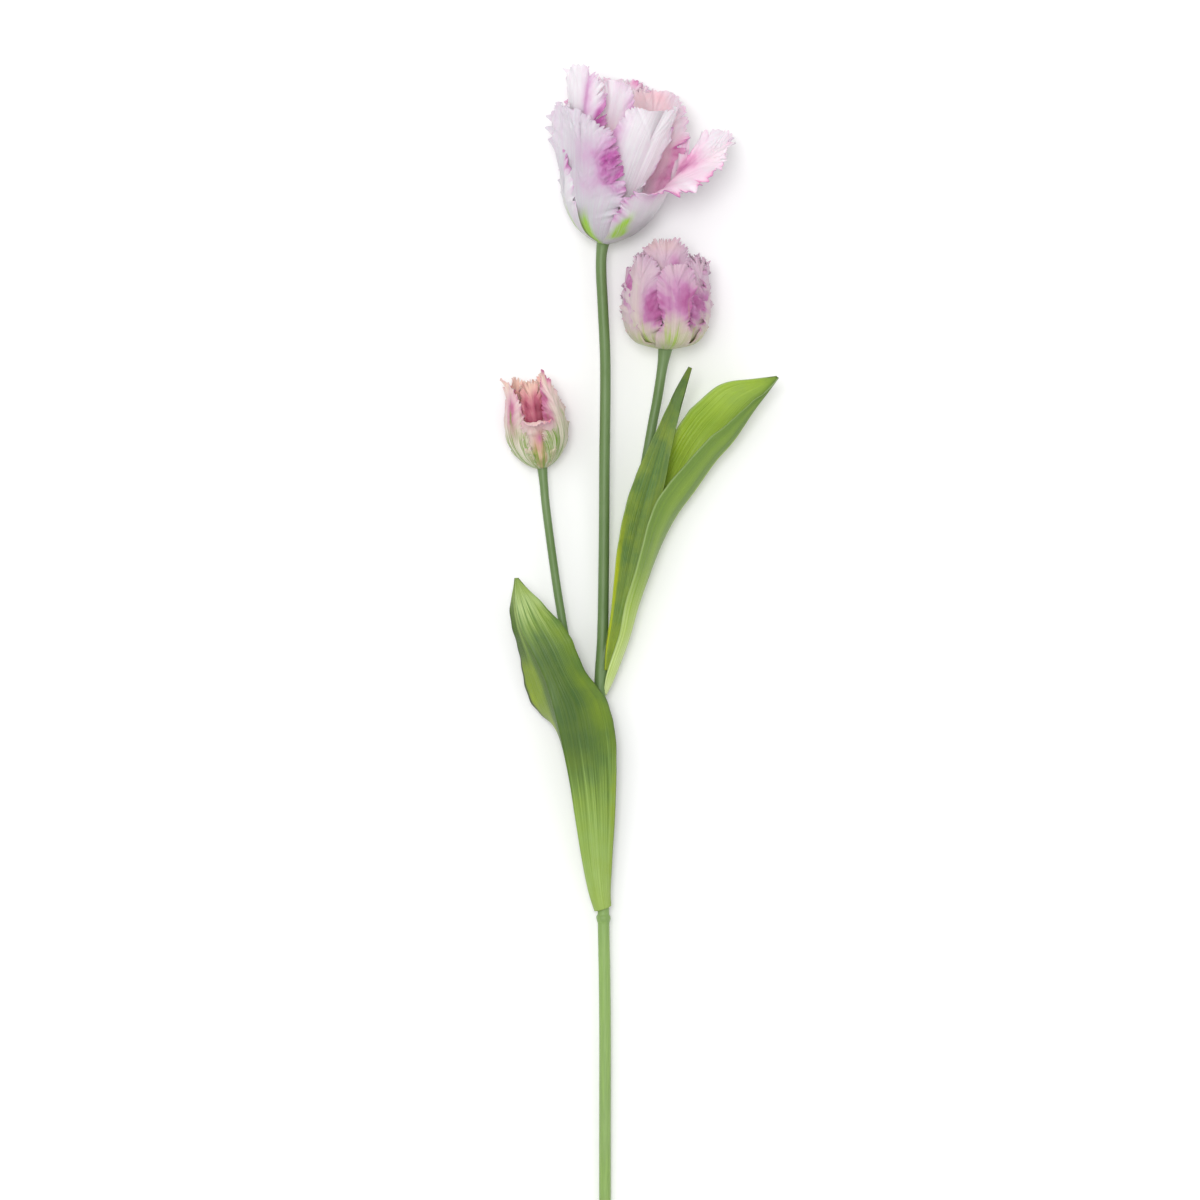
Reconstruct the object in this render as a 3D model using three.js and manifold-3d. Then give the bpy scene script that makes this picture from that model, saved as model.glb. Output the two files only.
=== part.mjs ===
// A cut spray of parrot tulip, lying on a table: one branching stem with a large open bloom, a
// half-open bloom and a bud, and three leaves. Millimetres, +Z up from the table, +Y along the stem
// from its cut end to the large bloom. The origin is the centre of the bounding box, on the table.
import * as THREE from "three";
import { mergeVertices } from "three/addons/utils/BufferGeometryUtils.js";
import Module from "manifold-3d";

const wasm = await Module();
wasm.setup();

// Driving dimensions, in millimetres and degrees. Places are measured from the cut end.

const REST_CENTRE = [21.76, 359.4]; // where the centre of the whole spray lies
const PETAL_THICK = 0.8;
const LEAF_THICK = 0.9;
const LEAF_EDGE = 0.65;
const SEAT_GAP = 0.3; // between the pistil or a stamen and the receptacle

// The three heads: where the petals start, how far the axis leans to the right and rises from the
// table, and the receptacle that the petals stand round, as radii and heights from its foot up.
const LARGE_BLOOM = {
  base: [-0.8, 617.4, 20.1],
  leanRight: 8.4,
  rise: 14,
  receptacle: [
    [3.9, -3.2],
    [6.2, -2],
    [7.3, -1.4],
    [7.3, 0.4],
    [6.5, 3],
    [5.6, 6.4],
    [5.5, 8.4],
    [5.2, 9],
  ],
};
const HALF_BLOOM = {
  base: [36.4, 552.6, 24.2],
  leanRight: 1,
  rise: 4,
  receptacle: [
    [3.9, -2.6],
    [6, -1.2],
    [6.85, -0.6],
    [6.85, 0.4],
    [6, 2.5],
    [5.8, 5.5],
    [5.8, 6.5],
    [3.5, 8.2],
  ],
};
const BUD = {
  base: [-37.8, 480.6, 13.7],
  leanRight: -9,
  rise: 6,
  receptacle: [
    [2.4, -1.4],
    [3.2, -0.6],
    [3.4, -0.2],
    [3.4, 0.5],
    [3.1, 1.8],
    [3.1, 2.6],
    [1.6, 4],
  ],
};

// A petal is drawn flat, then laid along a line that leaves the receptacle at an angle to the
// bloom's axis. lean lists that angle at LEAN_AT along the petal. hug is how closely the petal
// follows the round of the bloom, at its base and at its tip: 1 follows it, 0 is flat, and below 0
// the margins roll outwards. Azimuth 0 faces up from the table, 90 to the right. reach is the length
// that LEAN_AT divides, where it isn't the petal's own.
const LEAN_AT = [0, 0.1, 0.25, 0.45, 0.7, 1];
const PETAL = {
  baseRadius: 7,
  baseHeight: 0,
  claw: 4.2,
  width: 30,
  length: 110,
  lean: [74, 50, 26, 12, 2, 3],
  hug: [1, 0.8],
  ruffle: 2,
  waves: 8,
  phase: 0,
  curl: 0,
  groove: 1.2,
  cut: 0.1,
  blunt: 0.75,
  swell: 0.8,
  skew: 0,
  twist: 0,
  reach: 0,
  rows: 14,
  columns: 3,
};

// The large bloom's petals: an outer layer with a short one in front of it, and an inner layer
// round a narrow middle petal.
const LARGE_LAYERS = {
  outermost: { lean: [80, 57, 32, 14, 9, 15], baseRadius: 7.8, baseHeight: -1 },
  outer: { lean: [72, 50, 28, 12, 7, 8], baseRadius: 7.8, baseHeight: 0 },
  inner: { lean: [66, 45, 23, 9, 5, 6], baseRadius: 7, baseHeight: 3 },
  innermost: { lean: [58, 36, 16, 4, 0, 4], baseRadius: 6.2, baseHeight: 6.4 },
};
const LARGE_COMMON = { reach: 92 };
const LARGE_PETALS = {
  front_left: {
    layer: "outer",
    azimuth: -36,
    skew: -8,
    width: 28,
    length: 87,
    ruffle: 1.8,
    curl: 0.8,
    blunt: 0.6,
  },
  right: {
    layer: "outer",
    azimuth: 57,
    skew: 30,
    width: 22,
    length: 102,
    lean: [72, 50, 26, 11, 48, 54],
    hug: [1, 0.2],
    twist: -24,
    ruffle: 3,
    waves: 9,
    cut: 0.2,
    blunt: 0.9,
  },
  back: {
    layer: "outer",
    azimuth: 188,
    width: 30,
    length: 92,
    ruffle: 2,
    phase: 60,
  },
  left: {
    layer: "outermost",
    azimuth: -104,
    width: 12.5,
    length: 66,
    claw: 3.2,
    ruffle: 1,
    blunt: 1,
    cut: 0.15,
  },
  centre_right: {
    layer: "inner",
    azimuth: 20,
    skew: 34,
    width: 27,
    length: 91,
    ruffle: 1.2,
    blunt: 0.55,
    phase: 90,
  },
  back_right: {
    layer: "inner",
    azimuth: 146,
    skew: -12,
    width: 30,
    length: 95,
    lean: [66, 45, 23, 9, 7, 10],
    swell: 1,
    ruffle: 2.4,
    blunt: 0.6,
    phase: 30,
  },
  left_inner: {
    layer: "inner",
    azimuth: -68,
    skew: 14,
    width: 22,
    length: 110,
    lean: [66, 45, 23, 9, 6, 10],
    swell: 1.1,
    ruffle: 2,
    phase: 120,
  },
  middle: {
    layer: "innermost",
    azimuth: -14,
    width: 14,
    length: 99,
    claw: 3,
    hug: [1, 0.5],
    ruffle: 1,
    blunt: 0.7,
  },
};

// The half-open bloom's petals stand in three layers, from the outside in.
const HALF_LAYERS = {
  outer: { lean: [92, 78, 34, 4, -8, -12], baseRadius: 7.2, baseHeight: 0, length: 64 },
  between: { lean: [88, 68, 28, 2, -9, -15], baseRadius: 6.4, baseHeight: 3, length: 65 },
  inner: { lean: [82, 58, 21, 0, -10, -18], baseRadius: 6.2, baseHeight: 6, length: 64 },
};
const HALF_PETALS = {
  front: { layer: "outer", azimuth: 6, width: 17, length: 60, blunt: 0.8, ruffle: 0.5 },
  far_left: { layer: "outer", azimuth: -92, width: 17, length: 62, phase: 80 },
  far_right: { layer: "outer", azimuth: 98, width: 17, phase: 150 },
  back: { layer: "outer", azimuth: 186, width: 17, phase: 10 },
  left: { layer: "between", azimuth: -44, width: 18, length: 66, phase: 40 },
  right: { layer: "between", azimuth: 54, width: 18, length: 66, ruffle: 1, waves: 10 },
  back_right: { layer: "between", azimuth: 143, width: 17, phase: 20 },
  back_left: { layer: "between", azimuth: -137, width: 17, phase: 200 },
  inner_front: { layer: "inner", azimuth: -14, width: 18, length: 67, phase: 60 },
  inner_right: { layer: "inner", azimuth: 104, width: 18, phase: 90 },
  inner_left: { layer: "inner", azimuth: -134, width: 18, phase: 140 },
};

const BUD_LAYERS = {
  outer: { lean: [75, 52, 27, 2, -15, -6], baseRadius: 3.8, baseHeight: 0, length: 64 },
  inner: { lean: [66, 44, 20, -2, -14, -8], baseRadius: 3.6, baseHeight: 2.2, length: 58 },
};
const BUD_PETALS = {
  front: {
    layer: "outer",
    azimuth: 0,
    width: 10,
    length: 52,
    lean: [76, 60, 42, 8, 70, 175],
    hug: [1, 0.2],
    ruffle: 0.4,
  },
  left: { layer: "outer", azimuth: -62, width: 12.5 },
  right: { layer: "outer", azimuth: 60, width: 12.5 },
  back: { layer: "outer", azimuth: 180, width: 14, length: 60 },
  back_left: { layer: "inner", azimuth: -122, width: 12 },
  back_right: { layer: "inner", azimuth: 122, width: 12 },
};

const HALF_COMMON = {
  claw: 4.4,
  swell: 0.65,
  hug: [1, 1],
  ruffle: 0.7,
  groove: 0.6,
  cut: 0.14,
  reach: 70,
  rows: 11,
};
const BUD_COMMON = {
  claw: 1.9,
  hug: [1, 1],
  ruffle: 0.5,
  groove: 0.4,
  cut: 0.05,
  blunt: 1.2,
  rows: 10,
  columns: 2,
};

// Each leaf is a midrib with a wing on each side. At every station along the midrib a wing has a
// width, the angle at which it leaves the midrib, up from the plane of the table, and how far it
// bends on across its width.
const LOWER_LEAF = {
  midrib: [
    [-5.3, 213, 12.6],
    [-9.6, 226, 15],
    [-13.6, 245, 19],
    [-17.4, 268, 24],
    [-21.2, 292, 29],
    [-25.6, 315, 33],
    [-29.8, 334, 35],
    [-35, 352, 35],
    [-42.5, 368, 35.5],
    [-50.2, 384, 35],
    [-53.6, 400, 33.5],
    [-53.4, 413.4, 31],
  ],
  right: {
    width: [12, 15.5, 20, 25.5, 30.5, 34.5, 33, 22.5, 24, 22, 14, 1.2],
    angle: [60, 35, 12, 0, -8, -12, -14, -12, -10, -6, 0, 0],
    bend: [-137, -95, -55, -35, -25, -20, -20, -22, -20, -15, -10, 0],
  },
  left: {
    width: [9, 11, 15, 19, 23, 26, 27, 25, 18, 9, 3.5, 1.2],
    angle: [-60, -75, -85, -90, -92, -82, -70, -62, -58, -60, -60, -60],
    bend: [-103, -60, -35, -25, -18, -12, -5, 5, 8, 8, 0, 0],
  },
  wave: 2.2,
  waves: 3.2,
  rows: 20,
  columns: 4,
};

const UPPER_OUTER_LEAF = {
  midrib: [
    [1.6, 338, 12.7],
    [6.2, 352, 11.6],
    [13.8, 376, 11.6],
    [19.6, 396, 12.2],
    [26, 414, 12.8],
    [34, 434, 13.6],
    [43, 451, 15],
    [54, 466, 17],
    [66, 483, 19.5],
    [77.4, 496, 22],
    [88.8, 513, 26],
    [97, 524, 29],
    [103.8, 533.4, 32],
  ],
  right: {
    width: [9, 13, 20, 25, 28, 29, 28, 25, 20, 17, 9, 4, 1.2],
    angle: [70, 74, 80, 84, 86, 90, 96, 102, 106, 108, 106, 100, 90],
    bend: [117, 85, 56, 48, 44, 44, 48, 52, 52, 50, 30, 10, 0],
  },
  left: {
    width: [8, 9, 12, 16, 21, 25, 26, 27, 31, 33, 27, 14, 1.2],
    angle: [-70, -50, -25, -18, -14, -12, -10, -8, -6, -4, -2, 0, 0],
    bend: [104, 70, 40, 32, 28, 26, 26, 26, 26, 24, 20, 10, 0],
  },
  wave: 1.4,
  waves: 2.6,
  rows: 22,
  columns: 4,
};

const UPPER_INNER_LEAF = {
  midrib: [
    [0.6, 358, 19.6],
    [3.6, 372, 22],
    [8, 390, 25],
    [12, 410, 26.5],
    [16, 430, 27.6],
    [20.8, 450, 29],
    [26.4, 470, 31.5],
    [32.4, 490, 34],
    [38.4, 508, 35.5],
    [44.6, 524, 36],
    [51, 539.4, 36],
  ],
  right: {
    width: [3, 4.5, 6, 8, 10.5, 11, 10, 7.5, 5, 3, 0.8],
    angle: [-5, -4, -4, -4, 0, 6, 10, 12, 12, 10, 0],
    bend: [-10, 0, 0, 0, 6, 12, 14, 14, 12, 8, 0],
  },
  left: {
    width: [3, 4.5, 5.5, 7.5, 10, 11, 10, 7, 4.6, 3, 0.8],
    angle: [40, 30, 26, 26, 26, 26, 26, 24, 20, 12, 0],
    bend: [-60, -25, -6, 4, 8, 8, 8, 8, 6, 4, 0],
  },
  wave: 0.7,
  waves: 2.2,
  rows: 16,
  columns: 3,
};

// Stems: points along the middle and the radius there.
const MAIN_STEM = {
  points: [
    [0, 0, 3.4],
    [0, 26, 3.4],
    [0, 80, 5.7],
    [0, 150, 8.3],
    [-0.9, 209, 10.2],
    [-1.8, 260, 11.9],
    [-2.8, 310, 13.3],
    [-3, 350, 14.5],
    [-1.4, 380, 15.5],
    [-0.6, 434, 16.6],
    [-0.3, 480, 17.6],
    [0.2, 540, 19],
    [-1.2, 575, 19.4],
    [-2.3, 597, 19.7],
    [-2.1, 608, 20],
    [-0.8, 617.4, 20.1],
  ],
  radii: [3.6, 3.6, 3.6, 3.6, 3.6, 3.6, 3.5, 3.5, 3.4, 3.3, 3.3, 3.3, 3.3, 3.3, 3.4, 4.2],
  rows: 45,
  sides: 12,
};
const HALF_STEM = {
  points: [
    [-3, 332, 13.9],
    [-1.4, 352, 15.4],
    [6.5, 385, 18],
    [16.7, 440, 21.6],
    [27.6, 501, 23.8],
    [31.4, 521, 24],
    [34.4, 540, 24.2],
    [36.4, 552.6, 24.2],
  ],
  radii: [2.4, 2.8, 2.9, 2.9, 2.9, 3, 3.2, 4.6],
  rows: 16,
  sides: 10,
};
const BUD_STEM = {
  points: [
    [-0.9, 218, 10.6],
    [-3, 238, 12],
    [-11, 300, 14],
    [-20, 355, 15],
    [-28.5, 405, 15.4],
    [-35, 452, 15.4],
    [-36.8, 470, 14.6],
    [-37.8, 480.6, 13.7],
  ],
  radii: [2, 2.5, 2.6, 2.6, 2.6, 2.6, 2.7, 3.2],
  rows: 18,
  sides: 10,
};
// The rim under the lower leaf, with rings from its foot to its top.
const COLLAR = {
  foot: [-0.9, 205.5, 10.1],
  top: [-0.9, 210, 10.3],
  radii: [3.3, 4.1, 4.4, 4.4],
  sides: 12,
};

// The pistil and a stamen, as radii and heights from the foot up.
const PISTIL = [
  [2.1, 0],
  [3, 3],
  [3, 14.4],
  [2.4, 20.4],
  [4.8, 22.3],
  [4, 24],
];
const STAMEN = [
  [1.1, 0],
  [0.9, 11.7],
  [0.7, 13],
  [1.7, 14.6],
  [1.9, 19.5],
  [1, 26],
];
const STAMEN_RING = { count: 6, radius: 4.1, lean: 17 };
const RECEPTACLE_SIDES = 16;
const PISTIL_SIDES = 6;
const WELD = 1e-3; // corners nearer than this are one corner

const FINISHES = {
  stem: { color: 0x7d9f68, roughness: 0.6 },
  lower_leaf: { color: 0x6c8c44, roughness: 0.55 },
  upper_outer_leaf: { color: 0x86a34a, roughness: 0.55 },
  upper_inner_leaf: { color: 0x729147, roughness: 0.55 },
  large_bloom: { color: 0xd9c3d2, roughness: 0.7 },
  half_bloom: { color: 0xc9a0bc, roughness: 0.7 },
  bud: { color: 0xc7a4a8, roughness: 0.7 },
  pistil: { color: 0xa9bd72, roughness: 0.6 },
  stamen: { color: 0x5a4a3c, roughness: 0.8 },
};

const rad = THREE.MathUtils.degToRad;
const mix = (a, b, t) => a + (b - a) * t;
const clamp = (x, low, high) => Math.min(high, Math.max(low, x));
const smooth = (t) => t * t * (3 - 2 * t);
const ease = (x, low, high) => smooth(clamp((x - low) / (high - low), 0, 1));

// A smooth value at t, from 0 to 1, through values at evenly spaced or given knots.
function through(values, t, knots) {
  const last = values.length - 1;
  const at = knots ?? values.map((_, i) => i / last);
  let from = 0;
  while (from < last - 1 && t > at[from + 1]) from += 1;
  const run = at[from + 1] - at[from];
  const s = clamp((t - at[from]) / run, 0, 1);
  const slope = (k) => {
    const a = Math.max(0, k - 1);
    const b = Math.min(last, k + 1);
    return ((values[b] - values[a]) / (at[b] - at[a])) * run;
  };
  const near = s * s * (3 - 2 * s);
  const leave = s * (1 - s) * (1 - s);
  const arrive = s * s * (s - 1);
  return mix(values[from], values[from + 1], near) + leave * slope(from) + arrive * slope(from + 1);
}

// The same for points: each coordinate on its own.
function throughPoints(points, t) {
  const along = [0, 1, 2].map((axis) =>
    through(
      points.map((point) => point[axis]),
      t,
    ),
  );
  return new THREE.Vector3(...along);
}

// Turns triangles over a list of points into a closed solid whose faces point out.
function solidFrom(points, triangles) {
  const loose = new THREE.BufferGeometry();
  const places = points.flatMap((p) => [p.x, p.y, p.z]);
  loose.setAttribute("position", new THREE.Float32BufferAttribute(places, 3));
  loose.setIndex(triangles.flat());
  const merged = mergeVertices(loose, WELD);
  const position = merged.attributes.position;
  const index = merged.index.array;
  const corners = [0, 1, 2].map(() => new THREE.Vector3());
  const faces = [];
  let volume = 0;
  for (let i = 0; i < index.length; i += 3) {
    const face = [index[i], index[i + 1], index[i + 2]];
    if (new Set(face).size < 3) continue;
    corners.forEach((corner, k) => corner.fromBufferAttribute(position, face[k]));
    volume += corners[0].dot(corners[1].cross(corners[2]));
    faces.push(face);
  }
  const turned = volume < 0 ? faces.map((face) => face.toReversed()) : faces;
  const mesh = new wasm.Mesh({
    numProp: 3,
    vertProperties: new Float32Array(position.array),
    triVerts: new Uint32Array(turned.flat()),
  });
  return new wasm.Manifold(mesh);
}

// Makes a node from a solid, shifted so that the spray's centre is the origin.
function nodeFrom(name, solid, finish) {
  const mesh = solid.getMesh();
  const geometry = new THREE.BufferGeometry();
  const places = new Float32Array(mesh.vertProperties);
  geometry.setAttribute("position", new THREE.BufferAttribute(places, 3));
  geometry.setIndex(new THREE.BufferAttribute(new Uint32Array(mesh.triVerts), 1));
  geometry.computeVertexNormals();
  const material = new THREE.MeshStandardMaterial({ ...FINISHES[finish], metalness: 0 });
  const node = new THREE.Mesh(geometry, material);
  node.name = name;
  return node;
}

// A sheet over a grid of rows and columns, thickened on both sides, with both faces split alike.
// at(row, column) gives the middle, the normal and half the thickness. With closedTip, the two
// halves of the last row lie on each other, so that row has no rim.
function sheetSolid(rows, columns, at, closedTip) {
  const points = [];
  const triangles = [];
  const id = (row, column, side) => 2 * (row * (columns + 1) + column) + side;
  for (let row = 0; row <= rows; row += 1) {
    for (let column = 0; column <= columns; column += 1) {
      const { middle, normal, half } = at(row, column);
      const over = middle.clone().addScaledVector(normal, half);
      const under = middle.clone().addScaledVector(normal, -half);
      const sunk = Math.min(over.z, under.z, 0); // what would reach into the table lies flat on it
      over.z -= sunk;
      under.z -= sunk;
      points.push(over, under);
    }
  }
  for (let row = 0; row < rows; row += 1) {
    for (let column = 0; column < columns; column += 1) {
      for (const side of [0, 1]) {
        const a = id(row, column, side);
        const b = id(row, column + 1, side);
        const c = id(row + 1, column + 1, side);
        const d = id(row + 1, column, side);
        const leftHalf = 2 * column < columns;
        const split = leftHalf ? [[a, b, d], [b, c, d]] : [[a, b, c], [a, c, d]];
        triangles.push(...split.map((face) => (side === 0 ? face : face.toReversed())));
      }
    }
  }
  const rim = (a, b) => triangles.push([a, a + 1, b], [b, a + 1, b + 1]);
  for (let column = 0; column < columns; column += 1) {
    rim(id(0, column, 0), id(0, column + 1, 0));
    if (!closedTip) rim(id(rows, column + 1, 0), id(rows, column, 0));
  }
  for (let row = 0; row < rows; row += 1) {
    rim(id(row + 1, 0, 0), id(row, 0, 0));
    rim(id(row, columns, 0), id(row + 1, columns, 0));
  }
  return solidFrom(points, triangles);
}

// Petals

const WIDEST = 0.6; // where a petal is widest, as a share of its length
const MARGIN_TURN = 0.55; // the share of its barbs that end below there
const BARB_START = 0.78; // how far up the midrib a barb starts, as a share of where it ends
const FAN_START = 0.2; // where the folds spread from, as a share of the length
const RISE = [0.25, 0.75]; // where the ruffles begin and are full, along the petal
const HUG_TURN = [0.3, 0.8]; // where hug goes from its value at the base to that at the tip
const TWIST_TURN = [0.4, 0.75]; // where the twist begins and is full
const KEEL_WIDTH = 5;
const KEEL_RISE = [0, 0.3]; // where the groove over the midrib begins and is full
const LEAST_HUG_RADIUS = 4; // a petal bends no tighter than this round the axis
const LEAST_HUG_SHARE = 0.25; // how much of its curve a petal keeps where it lies flat
const FLAT_BEND = 1e-4; // below this bend, in radians, a petal counts as flat across
const PROFILE_STEPS = 60;
const SLOPE_STEP = 0.4;
const FIRST_CUT_ROW = 3; // the claw's margin below this row is whole

// A petal's line from base to tip in its own meridian plane: distance from the axis, and height.
function petalLine(petal) {
  const step = petal.length / PROFILE_STEPS;
  const shared = petal.length / (petal.reach || petal.length);
  const leanAt = (t) => rad(through(petal.lean, clamp(t * shared, 0, 1), LEAN_AT));
  const line = [{ r: petal.baseRadius, h: petal.baseHeight }];
  for (let i = 0; i < PROFILE_STEPS; i += 1) {
    const lean = leanAt((i + 0.5) / PROFILE_STEPS);
    line.push({ r: line[i].r + step * Math.sin(lean), h: line[i].h + step * Math.cos(lean) });
  }
  return (t) => {
    const f = Math.max(0, t) * PROFILE_STEPS;
    const i = Math.min(PROFILE_STEPS - 1, Math.floor(f));
    const lean = leanAt(t);
    const between = (key) => mix(line[i][key], line[i + 1][key], f - i);
    return { r: between("r"), h: between("h"), lean };
  };
}

// Where a point of the flat petal, x across and y along, lies in the bloom's own frame: to the
// right, up from the table, and along the bloom's axis.
function petalPlace(petal, lineAt, x, y) {
  const t = y / petal.length;
  const { r, h, lean } = lineAt(t);
  const turn = rad(petal.azimuth + petal.skew * t * t);
  const out = new THREE.Vector3(Math.sin(turn), Math.cos(turn), 0);
  const side = new THREE.Vector3(Math.cos(turn), -Math.sin(turn), 0);
  const normal = out.clone().multiplyScalar(Math.cos(lean));
  normal.z = -Math.sin(lean);
  const along = side.clone().cross(normal);
  const roll = rad(petal.twist * ease(t, ...TWIST_TURN));
  side.applyAxisAngle(along, roll);
  normal.applyAxisAngle(along, roll);
  const hug = mix(petal.hug[0], petal.hug[1], ease(t, ...HUG_TURN));
  const curve = (hug * Math.max(Math.cos(lean), LEAST_HUG_SHARE)) / Math.max(r, LEAST_HUG_RADIUS);
  const bend = x * curve;
  const flat = Math.abs(bend) < FLAT_BEND;
  const chord = flat ? x : Math.sin(bend) / curve;
  const drop = flat ? 0 : (1 - Math.cos(bend)) / curve;
  const above = Math.max(0, t - WIDEST) / (1 - WIDEST);
  const reach = Math.hypot(x / petal.width, above);
  const spread = Math.atan2(x, y - FAN_START * petal.length);
  const folds = petal.ruffle * Math.sin(petal.waves * spread + rad(petal.phase)) + petal.curl;
  const keel = petal.groove * Math.exp(-((x / KEEL_WIDTH) ** 2)) * ease(t, ...KEEL_RISE);
  const lift = ease(t, ...RISE) * reach * reach * folds - keel;
  const place = out.clone().multiplyScalar(r);
  place.z = h;
  place.addScaledVector(side, chord + lift * Math.sin(bend));
  return place.addScaledVector(normal, lift * Math.cos(bend) - drop);
}

// The right margin of the flat petal, from base to tip.
function petalMargin(petal, v) {
  if (v < MARGIN_TURN) {
    const s = v / MARGIN_TURN;
    const swell = Math.sin((s * Math.PI) / 2) ** petal.swell;
    return [mix(petal.claw, petal.width, swell), s * WIDEST * petal.length];
  }
  const turn = ((v - MARGIN_TURN) / (1 - MARGIN_TURN)) * (Math.PI / 2);
  const across = Math.max(0, Math.cos(turn)) ** petal.blunt;
  const along = Math.sin(turn) ** petal.blunt;
  return [petal.width * across, petal.length * (WIDEST + (1 - WIDEST) * along)];
}

// A petal in the bloom's frame. Barbs run from the midrib up to the margin, and every other one
// ends short, so that the margin is cut.
function petalSolid(petal, toWorld) {
  const lineAt = petalLine(petal);
  const place = (x, y) => toWorld(petalPlace(petal, lineAt, x, y));
  const at = (row, column) => {
    const u = column / petal.columns - 1;
    const [wide, tall] = petalMargin(petal, row / petal.rows);
    const onMargin = Math.abs(u) === 1 && row >= FIRST_CUT_ROW && row < petal.rows;
    const short = onMargin && row % 2 === (u < 0 ? 0 : 1) ? petal.cut : 0;
    const share = Math.abs(u) - short;
    const x = Math.sign(u) * share * wide;
    const y = mix(tall * BARB_START, tall, share);
    const step = SLOPE_STEP;
    const alongX = place(x + step, y).sub(place(x - step, y));
    const alongY = place(x, y + step).sub(place(x, y - step));
    return { middle: place(x, y), normal: alongX.cross(alongY).normalize(), half: PETAL_THICK / 2 };
  };
  return sheetSolid(petal.rows, 2 * petal.columns, at, true);
}

// A bloom's frame: its own right, up from the table, and along its axis, as one matrix.
function bloomFrame(bloom) {
  const lean = rad(bloom.leanRight);
  const right = new THREE.Vector3(Math.cos(lean), -Math.sin(lean), 0);
  const level = new THREE.Vector3(0, 0, 1).cross(right);
  const axis = level.multiplyScalar(Math.cos(rad(bloom.rise)));
  axis.z = Math.sin(rad(bloom.rise));
  const up = right.clone().cross(axis);
  const matrix = new THREE.Matrix4().makeBasis(right, up, axis);
  return matrix.setPosition(...bloom.base);
}

function bloomNodes(prefix, bloom, petals, layers, common, finish) {
  const frame = bloomFrame(bloom);
  const toWorld = (place) => place.applyMatrix4(frame);
  return Object.entries(petals).map(([name, own]) => {
    const petal = { ...PETAL, ...common, ...layers[own.layer], ...own };
    return nodeFrom(`${prefix}_petal_${name}`, petalSolid(petal, toWorld), finish);
  });
}

// Leaves

const WING_STEPS = 12;
const WAVE_RISE = [0.25, 0.55]; // where the waves of the margins begin and are full
const WAVE_FALL = [0.85, 1]; // where they fade towards the tip
const LEFT_WAVE_SHIFT = 0.4; // how far the left margin's waves lie ahead, in turns
const MIDRIB_STEP = 0.01; // the shares of a leaf over which its direction and its slope are taken
const BLADE_STEP = 0.02;

// A point of a leaf, s along it from 0 to 1 and q across it from -1, the left margin, to 1.
function leafPlace(leaf, s, q) {
  const middle = throughPoints(leaf.midrib, s);
  const ahead = throughPoints(leaf.midrib, Math.min(1, s + MIDRIB_STEP));
  const along = ahead.sub(throughPoints(leaf.midrib, Math.max(0, s - MIDRIB_STEP))).normalize();
  const across = new THREE.Vector3(along.y, -along.x, 0).normalize();
  const up = across.clone().cross(along).normalize();
  const wing = q < 0 ? leaf.left : leaf.right;
  const hand = q < 0 ? -1 : 1;
  const out = Math.abs(q);
  const [width, angle, bend] = [wing.width, wing.angle, wing.bend].map((list) => through(list, s));
  const step = (width * out) / WING_STEPS;
  for (let i = 0; i < WING_STEPS; i += 1) {
    const here = rad(angle + (bend * out * (i + 0.5)) / WING_STEPS);
    middle.addScaledVector(across, hand * step * Math.cos(here));
    middle.addScaledVector(up, step * Math.sin(here));
  }
  const turns = leaf.waves * s + (hand > 0 ? 0 : LEFT_WAVE_SHIFT);
  const fade = ease(s, ...WAVE_RISE) * (1 - ease(s, ...WAVE_FALL));
  const wave = leaf.wave * out * out * fade * Math.sin(2 * Math.PI * turns);
  const end = rad(angle + bend * out);
  middle.addScaledVector(up, wave * Math.cos(end));
  return middle.addScaledVector(across, -hand * wave * Math.sin(end));
}

function leafSolid(leaf) {
  const at = (row, column) => {
    const s = row / leaf.rows;
    const q = column / leaf.columns - 1;
    const place = (along, across) => leafPlace(leaf, clamp(along, 0, 1), clamp(across, -1, 1));
    const alongQ = place(s, q + BLADE_STEP).sub(place(s, q - BLADE_STEP));
    const alongS = place(s + BLADE_STEP, q).sub(place(s - BLADE_STEP, q));
    const half = mix(LEAF_THICK, LEAF_EDGE, Math.abs(q)) / 2;
    return { middle: leafPlace(leaf, s, q), normal: alongQ.cross(alongS).normalize(), half };
  };
  return sheetSolid(leaf.rows, 2 * leaf.columns, at, false);
}

// Stems

const STEM_STEP = 0.004; // the share of a stem over which its direction is taken

// A round solid with rings of the given centres, directions and radii, closed at both ends.
function ringsSolid(rings, sides) {
  const points = [];
  const triangles = [];
  rings.forEach(({ centre, along, radius }, row) => {
    const across = new THREE.Vector3(along.y, -along.x, 0).normalize();
    const up = across.clone().cross(along).normalize();
    for (let side = 0; side < sides; side += 1) {
      const turn = ((side + 0.5) / sides) * 2 * Math.PI;
      const point = centre.clone().addScaledVector(across, radius * Math.sin(turn));
      point.addScaledVector(up, -radius * Math.cos(turn));
      point.z = Math.max(point.z, 0); // the stem lies flat on the table where it touches
      points.push(point);
      const a = row * sides + side;
      const b = row * sides + ((side + 1) % sides);
      if (row < rings.length - 1) triangles.push([a, b, a + sides], [b, b + sides, a + sides]);
    }
  });
  const top = (rings.length - 1) * sides;
  for (let side = 1; side < sides - 1; side += 1) {
    triangles.push([side + 1, side, 0], [top, top + side, top + side + 1]);
  }
  return solidFrom(points, triangles);
}

function stemSolid(stem) {
  const rings = Array.from({ length: stem.rows + 1 }, (_, row) => {
    const s = row / stem.rows;
    const ahead = throughPoints(stem.points, Math.min(1, s + STEM_STEP));
    const along = ahead.sub(throughPoints(stem.points, Math.max(0, s - STEM_STEP))).normalize();
    return { centre: throughPoints(stem.points, s), along, radius: through(stem.radii, s) };
  });
  return ringsSolid(rings, stem.sides);
}

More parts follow.
